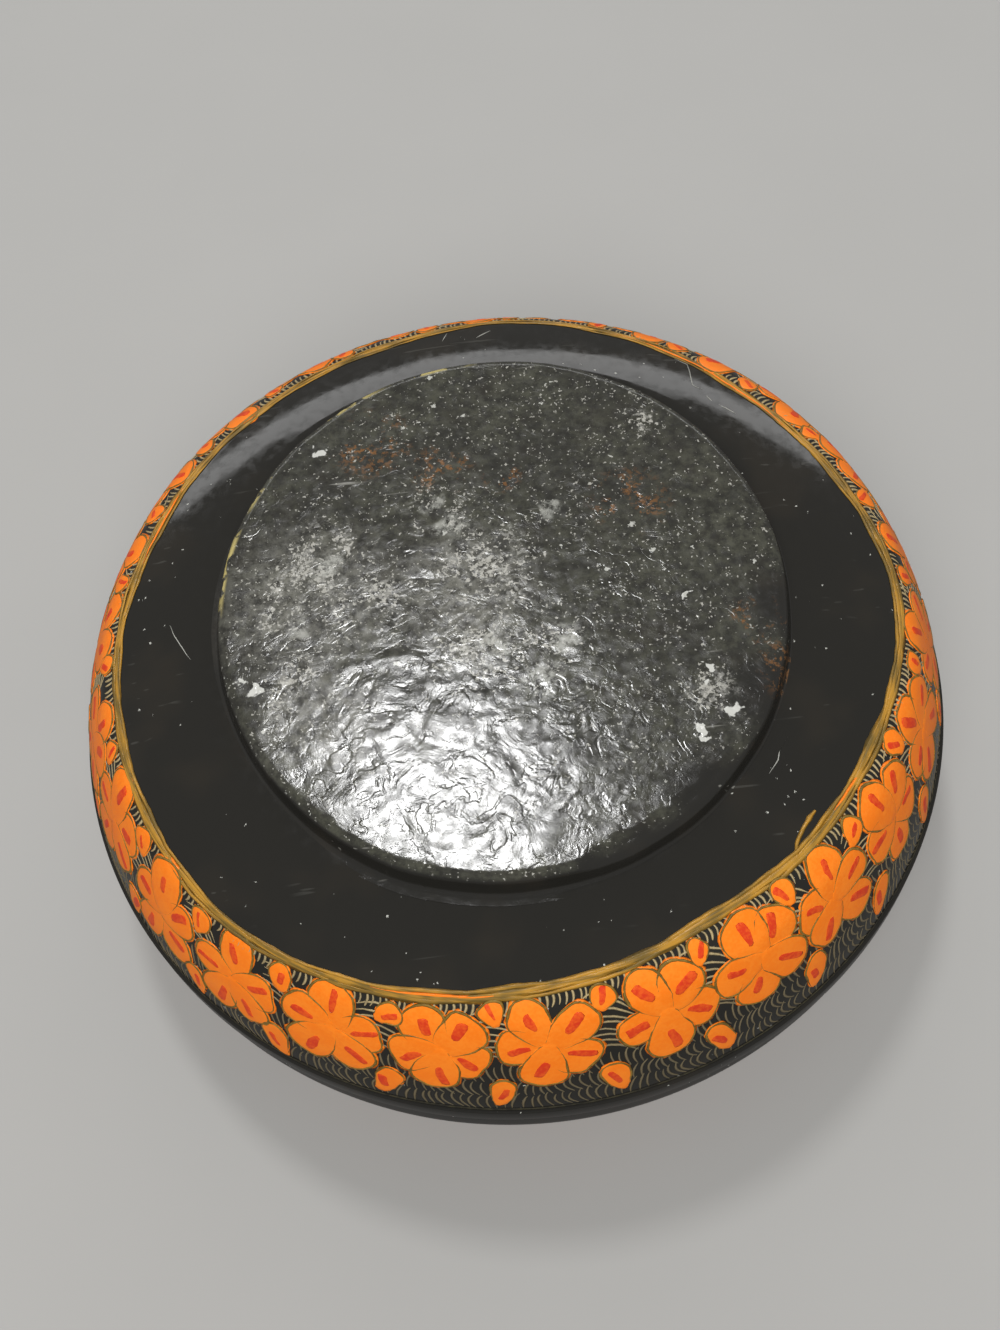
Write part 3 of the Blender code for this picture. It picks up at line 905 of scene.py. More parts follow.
def worn_foot_lacquer(finish):
    """Wrinkled black lacquer under a grey film, with scuffs, rust flecks, chips, a rubbed edge, and pale
    specks that are partly grit and partly painted glints.
    """
    material, tree, shader = start_material("worn_foot_lacquer")
    place = object_place(tree)
    coat = use_group(tree, "Uneven lacquer", build_uneven_lacquer, {
        "Vector": place, "Lacquer": finish.lacquer, "Brown": finish.lacquer_brown, "Scratch": finish.scuff_and_glint,
        "Scratches": 0.5, "Ripple": 5.0 * MM, "Smooth": 0.13, "Dull": 0.24})
    # Pale specks in scuff grey: partly grit, partly painted glints of the wrinkled lacquer
    grit_and_glints = use_group(tree, "Specks", build_specks, {
        "Vector": place, "Spacing": 0.32 * MM, "Share": 0.24, "Patch": 6.0 * MM})[0]
    flakes = use_group(tree, "Specks", build_specks, {
        "Vector": place, "Spacing": 0.9 * MM, "Share": 0.08, "Patch": 15.0 * MM})[0]
    fine = noise(tree, place, 1500.0, 3.0, roughness=0.7)["Fac"]
    cloud = noise(tree, place, 230.0, 5.0, roughness=0.65)["Fac"]
    mottle = noise(tree, place, 650.0, 5.0, roughness=0.8)["Fac"]
    sweep = noise(tree, place, 130.0, 3.0)["Fac"]

    bared = product(tree, calc(tree, "SUBTRACT", 1.0, near_spots(tree, place, SMOOTH_SPOTS)),
                    eased(tree, split(tree, place)["Z"], FOOT_TOP - 0.6 * MM, FOOT_TOP - 0.25 * MM))
    film = product(tree, eased(tree, mottle, 0.36, 0.68, 0.12, 1.0),
                   eased(tree, sweep, 0.36, 0.62, 0.5, 1.0))
    haze = product(tree, eased(tree, mottle, 0.36, 0.64, 0.02, 0.3), near_spots(tree, place, HAZE_SPOTS))
    rust = product(tree, eased(tree, cloud, 0.46, 0.56), eased(tree, fine, 0.5, 0.58),
                   near_spots(tree, place, RUST_SPOTS))
    scuffs = product(tree, eased(tree, cloud, 0.46, 0.62), eased(tree, fine, 0.48, 0.6),
                     near_spots(tree, place, SCUFF_SPOTS))
    ragged = ragged_place(tree, place)
    patches = product(tree, eased(tree, mottle, 0.40, 0.58, 0.0, 0.65),
                      near_spots(tree, ragged, PATCH_SPOTS))
    chips = eased(tree, near_spots(tree, ragged, CHIP_SPOTS), 0.2, 0.6)
    colour = coat["Color"]
    for mask, laid_over in (
            (product(tree, film, bared), finish.film),
            (haze, finish.scuff_and_glint),
            (rust, finish.rust),
            # Pale crumbs here and the grit below: partly real wear, partly painted glints
            (product(tree, crumbs_and_glints(tree, place, cloud), bared), finish.scuff_and_glint),
            (product(tree, scuffs, 0.6), finish.scuff_and_glint),
            (product(tree, grit_and_glints, bared), finish.scuff_and_glint),
            (patches, finish.dust),
            (chips, finish.chip),
            (product(tree, flakes, bared), finish.dust),
            (rubbed_edge(tree, place), finish.worn_edge)):
        colour = mixed(tree, mask, colour, laid_over)

    fold = noise(tree, place, 300.0, 2.0, distortion=1.2)["Fac"]
    open_fold = eased(tree, calc(tree, "ABSOLUTE", calc(tree, "SUBTRACT", fold, 0.5)), 0.0, 0.07)
    crease = calc(tree, "MAXIMUM", open_fold, eased(tree, cloud, 0.56, 0.44))
    wrinkle = noise(tree, place, 320.0, 5.0, roughness=0.55, distortion=0.7)["Fac"]
    normal = bump(tree, crease, 0.012 * MM, bump(tree, wrinkle, 0.06 * MM))
    fill_shader(tree, shader, Base_Color=colour, Normal=normal, Specular_IOR_Level=0.5,
                Roughness=calc(tree, "MULTIPLY_ADD", scuffs, 0.3, coat["Roughness"]))
    return material


def ragged_place(tree, place):
    """Place shifted about, so that a round spot there gets a torn edge."""
    shift = noise(tree, place, 420.0, 4.0)["Color"]
    shift = vector_calc(tree, "SUBTRACT", shift, (0.5, 0.5, 0.5))
    return vector_calc(tree, "ADD", place, vector_calc(tree, "MULTIPLY", shift, (6 * MM, 6 * MM, 0.0)))


def crumbs_and_glints(tree, place, cloud):
    """Mask of fine pale crumbs, partly grit and partly painted glints of the wrinkled lacquer, sparse on
    most of the foot and dense at its scuffs.
    """
    crumbs = noise(tree, place, 2300.0, 2.0, roughness=0.6)["Fac"]
    dense = calc(tree, "MULTIPLY_ADD", near_spots(tree, place, SCUFF_SPOTS), 0.85, 0.15)
    dense = calc(tree, "MULTIPLY", dense, eased(tree, cloud, 0.32, 0.6))
    limit = calc(tree, "MULTIPLY_ADD", dense, -0.15, 0.66)
    return eased(tree, calc(tree, "SUBTRACT", crumbs, limit), 0.0, 0.06)


def near_spots(tree, place, spots):
    """Mask that is 1 in the middle of each spot and fades out at its reach."""
    flat_place = vector_calc(tree, "MULTIPLY", place, (1.0, 1.0, 0.0))
    mask = None
    for x, y, reach in spots:
        away = new_node(tree, "ShaderNodeVectorMath", {0: flat_place, 1: (x * MM, y * MM, 0.0)},
                        operation="DISTANCE").outputs["Value"]
        spot = eased(tree, away, reach * MM, 0.3 * reach * MM)
        mask = spot if mask is None else calc(tree, "MAXIMUM", mask, spot)
    return mask


def rubbed_edge(tree, place):
    """Mask of the foot's left and back edge, where rubbing has bared its cream ground."""
    rounding = (1.0, FOOT_RADIUS / FOOT_RADIUS_Y, 0.0)
    out = vector_length(tree, vector_calc(tree, "MULTIPLY", place, rounding))
    edge = eased(tree, out, FOOT_RADIUS - 1.3 * MM, FOOT_RADIUS - 0.8 * MM)
    upper = eased(tree, split(tree, place)["Z"], FOOT_TOP - 1.6 * MM, FOOT_TOP - 0.9 * MM)
    worn = eased(tree, noise(tree, place, 420.0, 3.0)["Fac"], 0.46, 0.52)
    return product(tree, edge, upper, worn, near_spots(tree, place, CREAM_SPOTS))


def painted_board(finish):
    """Black painted pasteboard, rubbed through at its lip."""
    material, tree, shader = start_material("painted_board")
    place = object_place(tree)
    coat = use_group(tree, "Brushed paint", build_brushed_paint, {
        "Vector": place, "Stretch": (1.0, 1.0, 0.2), "Paint": finish.board, "Thin": finish.board_worn,
        "Blotch": 4.0 * MM, "Streak": 0.5 * MM, "Contrast": 0.25})
    fill_shader(tree, shader, Base_Color=coat["Color"], Roughness=coat["Roughness"],
                Normal=bump(tree, coat["Height"], 0.08 * MM))
    return material


def brush_paint(name, paint_colour, thin_colour, stretch, blotch, streak, contrast):
    """Varnished paint laid by brush."""
    material, tree, shader = start_material(name)
    coat = use_group(tree, "Brushed paint", build_brushed_paint, {
        "Vector": drawn_place(tree), "Stretch": stretch, "Paint": paint_colour, "Thin": thin_colour,
        "Blotch": blotch, "Streak": streak, "Contrast": contrast})
    fill_shader(tree, shader, Base_Color=coat["Color"], Roughness=coat["Roughness"],
                Normal=bump(tree, coat["Height"], 0.03 * MM), Specular_IOR_Level=0.35)
    return material


def hatch_paint(finish, band_height):
    """Pale gold hatching, with painted shade that darkens it further down the wall."""
    material, tree, shader = start_material("hatch_paint")
    place = drawn_place(tree)
    # Painted shade: the hatching is mixed towards its darker colour further down the wall, where the side
    # turns from the light
    shade_down_wall = eased(tree, split(tree, place)["Y"], -2.0 * MM, -0.7 * band_height)
    coat = use_group(tree, "Brushed paint", build_brushed_paint, {
        "Vector": place, "Stretch": (1.0, 1.0, 1.0), "Paint": finish.hatch, "Thin": finish.hatch_thin_and_shade,
        "Blotch": 3.0 * MM, "Streak": 0.4 * MM, "Contrast": 0.5})
    fill_shader(tree, shader, Base_Color=mixed(tree, shade_down_wall, coat["Color"], finish.hatch_thin_and_shade),
                Roughness=coat["Roughness"])
    return material


class Marks:
    """Brush marks in the flat drawing: a place, a turn and a size for each."""

    def __init__(self):
        self.places = []
        self.turns = []
        self.sizes = []
        self.widths = []

    def add(self, place, turn, size, width=0.0):
        """Add a mark, with a width where it is a stroke."""
        self.places.append(place)
        self.turns.append(turn)
        self.sizes.append(size)
        self.widths.append(width)

    def mesh(self, name):
        """Mesh of points that carry the marks' turns, sizes and widths."""
        made = bpy.data.meshes.new(name)
        made.from_pydata(self.places, [], [])
        made.attributes.new("turn", "FLOAT", "POINT").data.foreach_set("value", self.turns)
        made.attributes.new("width", "FLOAT", "POINT").data.foreach_set("value", self.widths)
        made.attributes.new("size", "FLOAT_VECTOR", "POINT").data.foreach_set(
            "vector", [value for size in self.sizes for value in size])
        return made


def path_mesh(name, points, widths):
    """Mesh of one open path with a width at each point."""
    made = bpy.data.meshes.new(name)
    made.from_pydata(points, [(index, index + 1) for index in range(len(points) - 1)], [])
    made.attributes.new("width", "FLOAT", "POINT").data.foreach_set("value", widths)
    return made


def joined(name, meshes):
    """One mesh of several."""
    shape = bmesh.new()
    for mesh in meshes:
        shape.from_mesh(mesh)
        bpy.data.meshes.remove(mesh)
    made = bpy.data.meshes.new(name)
    shape.to_mesh(made)
    shape.free()
    return made


def line_drop(turn):
    """How far below its level the gold line runs at an angle round the box."""
    drop = LINE_LEVEL
    for centre, depth, spread in LINE_DRIFT:
        away = (turn - math.radians(centre) + math.pi) % math.tau - math.pi
        drop += depth * MM * math.exp(-(away / math.radians(spread)) ** 2)
    return drop


class BandDrawing:
    """Flat drawing of a flower band, as marks for each kind of brushwork."""

    def __init__(self, design):
        self.design = design
        self.hand = random.Random(design.seed)
        self.around = math.tau * design.reference_radius
        self.comma_rows = round(design.band_height / BAND_PER_COMMA_ROW)
        self.petals = Marks()
        self.buds = Marks()
        self.dabs = Marks()
        self.hatching = Marks()
        self.draw()

    def near(self, value, spread):
        """A value that the hand misses by a share of up to the spread."""
        return value * (1.0 + self.hand.uniform(-spread, spread))

    def line_at(self, along):
        """How far down the gold line lies."""
        return line_drop(along / self.design.reference_radius)

    def draw(self):
        """Draw the flowers and what fills the gaps between them, then the rows of hatching."""
        design = self.design
        pitch = self.around / design.flowers
        start = FRONT * design.reference_radius
        for index in range(design.flowers):
            along = start + index * pitch + self.hand.uniform(-0.06, 0.06) * pitch
            drop = self.line_at(along) + design.flower_drop + self.hand.uniform(-0.35, 0.35) * MM
            self.draw_flower(along, drop)
            gap = start + (index + 0.5) * pitch
            self.draw_buds(gap)
            self.draw_echoes(gap)
        self.draw_ticks()
        self.draw_commas(pitch, start)

    def draw_flower(self, along, drop):
        """Petals round a middle, lapped in a chance order, with a dab in each."""
        design = self.design
        order = list(range(design.petals))
        self.hand.shuffle(order)
        start = design.petal_start + self.hand.uniform(-0.3, 0.3)
        inset = design.petal_inset * design.scale
        for index in range(design.petals):
            way = start + math.tau * index / design.petals + self.hand.uniform(-0.13, 0.13)
            reach = math.hypot(design.petal_reach * math.sin(way), design.petal_drop * math.cos(way))
            reach = self.near(reach, 0.09) * design.scale + inset
            width = self.near(design.petal_width, 0.12) * design.scale
            lift = order[index] * 0.16 * design.thickness
            place = (along - inset * math.sin(way), -drop - inset * math.cos(way), lift)
            self.petals.add(place, -way, (width / 2, reach, design.thickness))
            self.draw_dab(place, way, reach, 0.42, 1.0, lift)

    def draw_dab(self, place, way, reach, setback, size, lift):
        """Red dab in a petal or bud, set back from its root by a share of its reach."""
        design = self.design
        tilt = way + self.hand.uniform(-0.4, 0.4)
        long = self.near(design.dab_length, 0.2) * design.scale * size
        wide = self.near(design.dab_width, 0.25) * design.scale * size
        along = place[0] + math.sin(way) * reach * setback
        up = place[1] + math.cos(way) * reach * setback
        self.dabs.add((along, up, lift + 0.85 * design.thickness), -tilt,
                      (wide / 2, long, 0.4 * design.thickness))

    def draw_buds(self, gap):
        """A short bud at the gold line and a longer one low in the gap between two flowers."""
        design = self.design
        line = self.line_at(gap)
        upper = (line + 2.3 * MM, 1.15, 1.2)
        lower = (0.4 * line + design.bud_drop, 1.95, 0.4)
        for drop, stretch, swing in (upper, lower):
            way = self.hand.uniform(-swing, swing)
            width = self.near(design.bud_size, 0.12) * design.scale
            reach = self.near(width * stretch, 0.1)
            along = gap + self.hand.uniform(-0.5, 0.5) * MM - math.sin(way) * reach / 2
            up = -drop + self.hand.uniform(-0.4, 0.4) * MM - math.cos(way) * reach / 2
            self.buds.add((along, up, 0.6 * design.thickness), -way, (width / 2, reach, design.thickness))
            self.draw_dab((along, up, 0.0), way, reach, 0.28, 0.35 + 0.25 * stretch, 0.6 * design.thickness)

    def draw_echoes(self, gap):
        """Bent strokes that cross the gap between two flowers, one below another."""
        design = self.design
        line = self.line_at(gap)
        tilt = self.hand.uniform(0.05, 0.5)
        lowest = design.band_height - self.comma_rows * COMMA_STEP
        for index in range(int((lowest - line - ECHO_TOP) / ECHO_STEP) + 1):
            drop = line + ECHO_TOP + index * ECHO_STEP
            self.hatching.add((gap + self.hand.uniform(-0.2, 0.2) * MM, -drop, 0.01 * MM),
                              math.pi / 2 - tilt + self.hand.uniform(-0.06, 0.06),
                              (self.near(ECHO_BEND, 0.2), self.near(ECHO_LENGTH, 0.12), 1.0),
                              self.near(design.hatch_width, 0.15))

    def draw_ticks(self):
        """Short strokes that hang from the gold line."""
        design = self.design
        for index in range(int(self.around / design.hatch_pitch)):
            along = (index + self.hand.uniform(-0.15, 0.15)) * design.hatch_pitch
            drop = self.line_at(along) + TICK_DROP
            self.hatching.add((along, -drop, 0.012 * MM), self.hand.uniform(-0.15, 0.1),
                              (self.near(TICK_BEND, 0.4), self.near(TICK_LENGTH, 0.15), 1.0),
                              self.near(design.hatch_width, 0.2))

    def draw_commas(self, pitch, start):
        """Rows of short bent strokes that fill the wall from under the flowers to the lower line."""
        design = self.design
        spacing = 1.16 * design.hatch_pitch
        for row in range(self.comma_rows):
            for index in range(int(self.around / spacing)):
                along = (index + 0.5 * row + self.hand.uniform(-0.14, 0.14)) * spacing
                side = math.tau * (along - start) / pitch
                long = self.near(COMMA_LENGTH, 0.16)
                drop = design.band_height - 0.4 * MM - long / 2 - row * COMMA_STEP
                bend = -(0.85 + 0.45 * math.sin(side + row)) * MM
                self.hatching.add((along, -drop, 0.0), 0.28 * math.sin(side + 1.0 - row),
                                  (self.near(bend, 0.2), long, 1.0),
                                  self.near(0.92 * design.hatch_width, 0.15))


class CrownDrawing(BandDrawing):
    """Flat drawing of one flower in a ring of buds."""

    def draw(self):
        design = self.design
        self.draw_flower(0.0, 0.0)
        for index in range(CROWN_BUDS):
            way = math.tau * (index + 0.5) / CROWN_BUDS + self.hand.uniform(-0.08, 0.08)
            width = self.near(design.bud_size, 0.12)
            reach = 1.5 * width
            out = self.near(CROWN_BUD_RADIUS, 0.04)
            place = (out * math.sin(way), out * math.cos(way), 0.0)
            self.buds.add(place, -way, (width / 2, reach, design.thickness))
            self.draw_dab(place, way, reach, 0.28, 0.6, 0.0)


def ring_path(design, drop_at, width, lift, start=0.0, end=math.tau):
    """Points and widths of a line that runs round the drawing between two angles."""
    steps = max(8, round((end - start) * design.reference_radius / (0.8 * MM)))
    alongs = [(start + (end - start) * step / steps) * design.reference_radius for step in range(steps + 1)]
    thinned = [1.0 - BACK_THINNING * max(0.0, math.sin(along / design.reference_radius))
               for along in alongs]
    return [(along, -drop_at(along), lift) for along in alongs], [width * part for part in thinned]


def keep_drawn(mesh):
    """Places of the points of a flat drawing, which its mesh keeps for the paint to follow."""
    drawn = read_points(mesh)
    mesh.attributes.new("drawn", "FLOAT_VECTOR", "POINT").data.foreach_set("vector", drawn.ravel())
    return drawn


def lay_on_wall(mesh, skin, design, shape, free_height, phase):
    """Lay a flat drawing on a wall."""
    drawn = keep_drawn(mesh)
    radius, height, out_radius, out_height = skin.at(-drawn[:, 1])
    turn = skin.way * drawn[:, 0] / design.reference_radius
    radius = radius + out_radius * drawn[:, 2]
    height = height + out_height * drawn[:, 2]
    points = np.stack([radius * np.cos(turn), radius * np.sin(turn), height], axis=1)
    write_points(mesh, hand_made(points, shape, free_height, phase))


class BOX_OT_base_shell(bpy.types.Operator):
    """Bowl of the base with its sloping ring, bulging side and rim band"""

    bl_idname = "papier_box.base_shell"
    bl_label = "Base shell"

    def execute(self, context):
        shape = context.scene.box_shape
        outside, _ = base_outside(shape)
        side_centre, turn_centre, meeting = base_centres(shape)
        band_top = (shape.rim_radius, shape.mouth_height + shape.rim_band)
        rim = (shape.rim_radius, shape.mouth_height)
        mouth = (shape.bore_radius, shape.mouth_height)
        ledge = (shape.bore_radius, shape.ledge_height)
        outline = straight((0.0, shape.seat_height), outside[0], 8) + outside
        outline += rounded(outside[-1], band_top, rim, shape.rim_step / 2, 4)
        outline += rounded(band_top, rim, mouth, shape.mouth_round, 5)
        outline += rounded(rim, mouth, ledge, shape.mouth_round, 5)
        outline += [ledge]
        inner_radius = shape.side_radius - shape.base_wall
        ledge_turn = math.asin((shape.ledge_height - side_centre.y) / inner_radius)
        outline += arc(side_centre, inner_radius, ledge_turn, meeting, 12)
        outline += arc(turn_centre, shape.shoulder_radius - shape.base_wall, meeting,
                       math.pi / 2 - shape.ring_slope, 10)[1:]
        inner_seat = shape.seat_radius - shape.base_wall * math.tan(shape.ring_slope / 2)
        floor = shape.seat_height - shape.base_wall
        outline += [(inner_seat, floor), (0.0, floor)]
        mesh = turned("base_shell", outline, shape.segments)
        write_points(mesh, hand_made(read_points(mesh), shape, BASE_FREE, BASE_PHASE))
        material = black_lacquer(context.scene.box_finish, "base_lacquer", speck_share=0.035)
        add_piece("base_shell_lacquer", mesh, material, "base", "base_shell")
        return {"FINISHED"}


class BOX_OT_foot_disc(bpy.types.Operator):
    """Pasted foot disc with wrinkled, worn lacquer"""

    bl_idname = "papier_box.foot_disc"
    bl_label = "Foot disc"

    def execute(self, context):
        shape = context.scene.box_shape
        low = shape.seat_height - 0.1 * MM
        top_middle = (0.0, FOOT_TOP)
        top_corner = (FOOT_RADIUS - 0.5 * MM, FOOT_TOP)
        wall_foot = (FOOT_RADIUS, shape.seat_height)
        skirt = (FOOT_RADIUS + shape.foot_flare, low)
        edge = rounded(top_middle, top_corner, wall_foot, shape.foot_edge, 10)
        flare = rounded(top_corner, wall_foot, skirt, shape.foot_flare * 0.6, 6)
        outline = straight(top_middle, edge[0], 90) + edge + flare + [skirt, (0.0, low)]
        mesh = turned("foot_disc", outline, 320)
        mesh.transform(Matrix.Diagonal((1.0, FOOT_RADIUS_Y / FOOT_RADIUS, 1.0, 1.0)))
        material = worn_foot_lacquer(context.scene.box_finish)
        mesh = grown(mesh, "Wrinkled lacquer", build_wrinkled_lacquer, {
            "Fold": 7.0 * MM, "Fold height": 0.2 * MM, "Grain": 2.6 * MM, "Grain height": 0.08 * MM,
            "Cut": 0.45 * MM, "Seed": 3.0, "Low": shape.seat_height + 0.2 * MM, "High": FOOT_TOP - 0.4 * MM,
            "Material": material})
        self.flake_lip(mesh)
        add_piece("foot_disc_lacquer", mesh, material, "base", "foot_disc")
        return {"FINISHED"}

    def flake_lip(self, mesh):
        """Sink the foot's lip at the front right, where its skin of lacquer has broken off."""
        points = read_points(mesh)
        turn = np.degrees(np.arctan2(points[:, 1], points[:, 0])) % 360.0
        out = np.hypot(points[:, 0], points[:, 1] * FOOT_RADIUS / FOOT_RADIUS_Y)
        reach = smooth_step((turn - FLAKE_ENDS[0]) / FLAKE_FADES[0])
        reach *= smooth_step((FLAKE_ENDS[1] - turn) / FLAKE_FADES[1])
        ragged = (0.24 * np.sin(0.9 * turn) + 0.18 * np.sin(2.3 * turn + 1.0)) * MM
        inner = FOOT_RADIUS - (FLAKE_WIDTH + ragged) * reach
        sunk = smooth_step((out - inner) / FLAKE_STEP) * reach
        sunk *= smooth_step((points[:, 2] - FOOT_TOP + 1.5 * MM) / (1.2 * MM))
        points[:, 2] -= FLAKE_DEPTH * sunk
        write_points(mesh, points)


class BOX_OT_neck_collar(bpy.types.Operator):
    """Pasteboard collar that seats the lid"""

    bl_idname = "papier_box.neck_collar"
    bl_label = "Neck collar"

    def execute(self, context):
        shape = context.scene.box_shape
        outer = float(COLLAR_HIGH[0])
        inner = outer - shape.collar_wall
        low = float(COLLAR_LOW[2])
        high = float(COLLAR_HIGH[2])
        outline = straight((inner, high), (outer, high), 3)
        lip_round = 0.5 * MM
        lip = rounded((outer, high), (outer, low), (inner, low), lip_round, 5)
        lip += rounded((outer, low), (inner, low), (inner, high), lip_round, 5)
        outline += straight((outer, high), lip[0], 12) + lip
        outline += straight(lip[-1], (inner, high), 12)[1:]
        mesh = turned("neck_collar", outline, shape.segments, closed=True)
        material = painted_board(context.scene.box_finish)
        add_piece("neck_collar_board", mesh, material, "base", "neck_collar")
        return {"FINISHED"}


class BOX_OT_lid_shell(bpy.types.Operator):
    """Low dome of the lid, crown down"""

    bl_idname = "papier_box.lid_shell"
    bl_label = "Lid shell"

    def execute(self, context):
        shape = context.scene.box_shape
        outside, _ = lid_outside(shape)
        dish = crown_hollow(shape)[1:]
        side_run = (-math.sin(shape.lid_lean), -math.cos(shape.lid_lean))
        slope_run = (math.cos(shape.crown_slope), math.sin(shape.crown_slope))
        inner_side = (shape.lid_radius - shape.lid_wall / math.cos(shape.lid_lean),
                      shape.lid_height - shape.lid_band)
        inner_crown = (shape.crown_radius - shape.lid_wall * math.tan(shape.crown_slope / 2),
                       shape.lid_wall)
        inner_shoulder = meet(inner_crown, slope_run, inner_side, side_run)
        ledge_outer = (shape.lid_bore, shape.lid_ledge)
        ledge_inner = meet(inner_side, side_run, ledge_outer, (1.0, 0.0))
        inside = [(0.0, shape.lid_wall), inner_crown]
        inside += rounded(inner_crown, inner_shoulder, ledge_inner,
                          shape.lid_shoulder_radius - shape.lid_wall, 12)
        inside += [ledge_inner, ledge_outer]
        inside += rounded(ledge_outer, (shape.lid_bore, shape.lid_height),
                          (shape.lid_radius, shape.lid_height), shape.mouth_round, 5)
        mesh = turned("lid_shell", inside + outside + dish, shape.segments)
        write_points(mesh, hand_made(read_points(mesh), shape, LID_FREE, LID_PHASE))
        material = black_lacquer(context.scene.box_finish, "lid_lacquer", speck_share=0.02)
        add_piece("lid_shell_lacquer", mesh, material, "lid", "lid_shell")
        return {"FINISHED"}


def paint_materials(finish, design):
    """The paints of the bands, made on first use."""
    made = bpy.data.materials.get
    even = (1.0, 1.0, 1.0)
    streaky = (0.06, 1.0, 1.0)
    recipes = {
        "orange": (finish.orange, finish.orange_pale, even, 3.0 * MM, 0.35 * MM, 0.55),
        "red": (finish.red, finish.red_thin, even, 1.4 * MM, 0.3 * MM, 0.8),
        "outline": (finish.outline, finish.outline_pale, even, 2.5 * MM, 0.5 * MM, 0.8),
        "gold": (finish.gold, finish.gold_dark, streaky, 5.0 * MM, 0.3 * MM, 0.9),
        "dull_line": (finish.line_dull, finish.lacquer, even, 4.0 * MM, 0.6 * MM, 0.9),
    }
    paints = {kind: made(f"{kind}_paint") or brush_paint(f"{kind}_paint", *recipe)
              for kind, recipe in recipes.items()}
    paints["hatch"] = made("hatch_paint") or hatch_paint(finish, design.band_height)
    return paints


def paint_flowers(drawing, design, paints, lay):
    """Petals and buds with their outlines, and the red dabs on them."""
    seed = float(design.seed)
    egg = {"Taper": 0.36, "Square": 0.94, "Wobble": 0.45 * MM, "Wave": 2.6 * MM, "Seed": seed}
    for kind, marks in (("petals", drawing.petals), ("buds", drawing.buds)):
        lay(kind, grown(marks.mesh(kind), "Paint dabs", build_paint_dabs, {
            **egg, "Edge": 0.35, "Fray": 0.3 * MM, "Segments": 34, "Rings": 8,
            "Material": paints["orange"]}), paints["orange"])
        raised = marks.mesh(kind)
        places = read_points(raised)
        places[:, 2] += 0.55 * design.thickness
        write_points(raised, places)
        lay(f"{kind}_outlines", grown(raised, "Petal lines", build_petal_lines, {
            **egg, "Gap": 0.9, "Reach": 0.91, "Width": design.outline_width, "Flatness": 0.45,
            "Patchiness": 2.2, "Material": paints["outline"]}), paints["outline"])
    lay("red_dabs", grown(drawing.dabs.mesh("dabs"), "Paint dabs", build_paint_dabs, {
        "Taper": 0.12, "Square": 0.6, "Edge": 0.4, "Segments": 12, "Rings": 6, "Wobble": 0.34 * MM,
        "Wave": 1.3 * MM, "Fray": 0.1 * MM, "Seed": seed, "Material": paints["red"]}), paints["red"])


def paint_band(context, design, skin, body, free_height, phase):
    """Paint one band: hatching, flowers, buds, dabs, outlines and gold lines."""
    shape = context.scene.box_shape
    paints = paint_materials(context.scene.box_finish, design)
    seed = float(design.seed)
    drawing = BandDrawing(design)

    def lay(name, mesh, material):
        lay_on_wall(mesh, skin, design, shape, free_height, phase)
        add_piece(f"{body}_{name}", mesh, material, body)

    lay("hatching", grown(drawing.hatching.mesh("hatching"), "Hatching", build_hatching, {
        "Flatness": 0.34, "Wobble": 0.16 * MM, "Wave": 2.2 * MM, "Seed": seed,
        "Material": paints["hatch"]}), paints["hatch"])
    paint_flowers(drawing, design, paints, lay)

    hand = random.Random(design.seed + 1)
    lines = []
    for offset, width, lift in GOLD_STRANDS:
        points, widths = ring_path(design, strand(design, hand, offset), width * design.line_width,
                                   lift * design.thickness)
        lines.append(brush_line(points, widths, seed + offset, paints["gold"], 0.16 / width ** 0.5))
    lay("gold_ring", joined("gold_ring", lines), paints["gold"])
    streaks = []
    for start, end in ORANGE_STREAKS:
        points, widths = ring_path(design, strand(design, hand, -0.12), 0.34 * design.line_width,
                                   1.1 * design.thickness, math.radians(start), math.radians(end))
        streaks.append(brush_line(points, widths, seed, paints["orange"], 0.2, ends=0.1))
    lay("orange_streaks", joined("orange_streaks", streaks), paints["orange"])
    points, widths = ring_path(design, lambda along: design.band_height, 0.5 * MM, 0.1 * design.thickness)
    lay("lower_line", brush_line(points, widths, seed, paints["dull_line"], 0.25), paints["dull_line"])


def strand(design, hand, offset):
    """Drop of one strand of the gold ring, which wanders as the brush is turned."""
    phases = [hand.uniform(0.0, math.tau) for _ in range(3)]

    def drop(along):
        turn = along / design.reference_radius
        wander = sum(math.sin(times * turn + phase) for times, phase in zip((7, 13, 29), phases))
        return line_drop(turn) + (offset + 0.07 * wander) * design.line_width

    return drop


def brush_line(points, widths, seed, material, flatness, ends=1.0):
    """Mesh of one long brush line."""
    return grown(path_mesh("line", points, widths), "Brush line", build_brush_line, {
        "Flatness": flatness, "Ends": ends, "Patchiness": 1.5, "Wobble": 0.13 * MM, "Wave": 1.8 * MM,
        "Seed": seed, "Material": material})


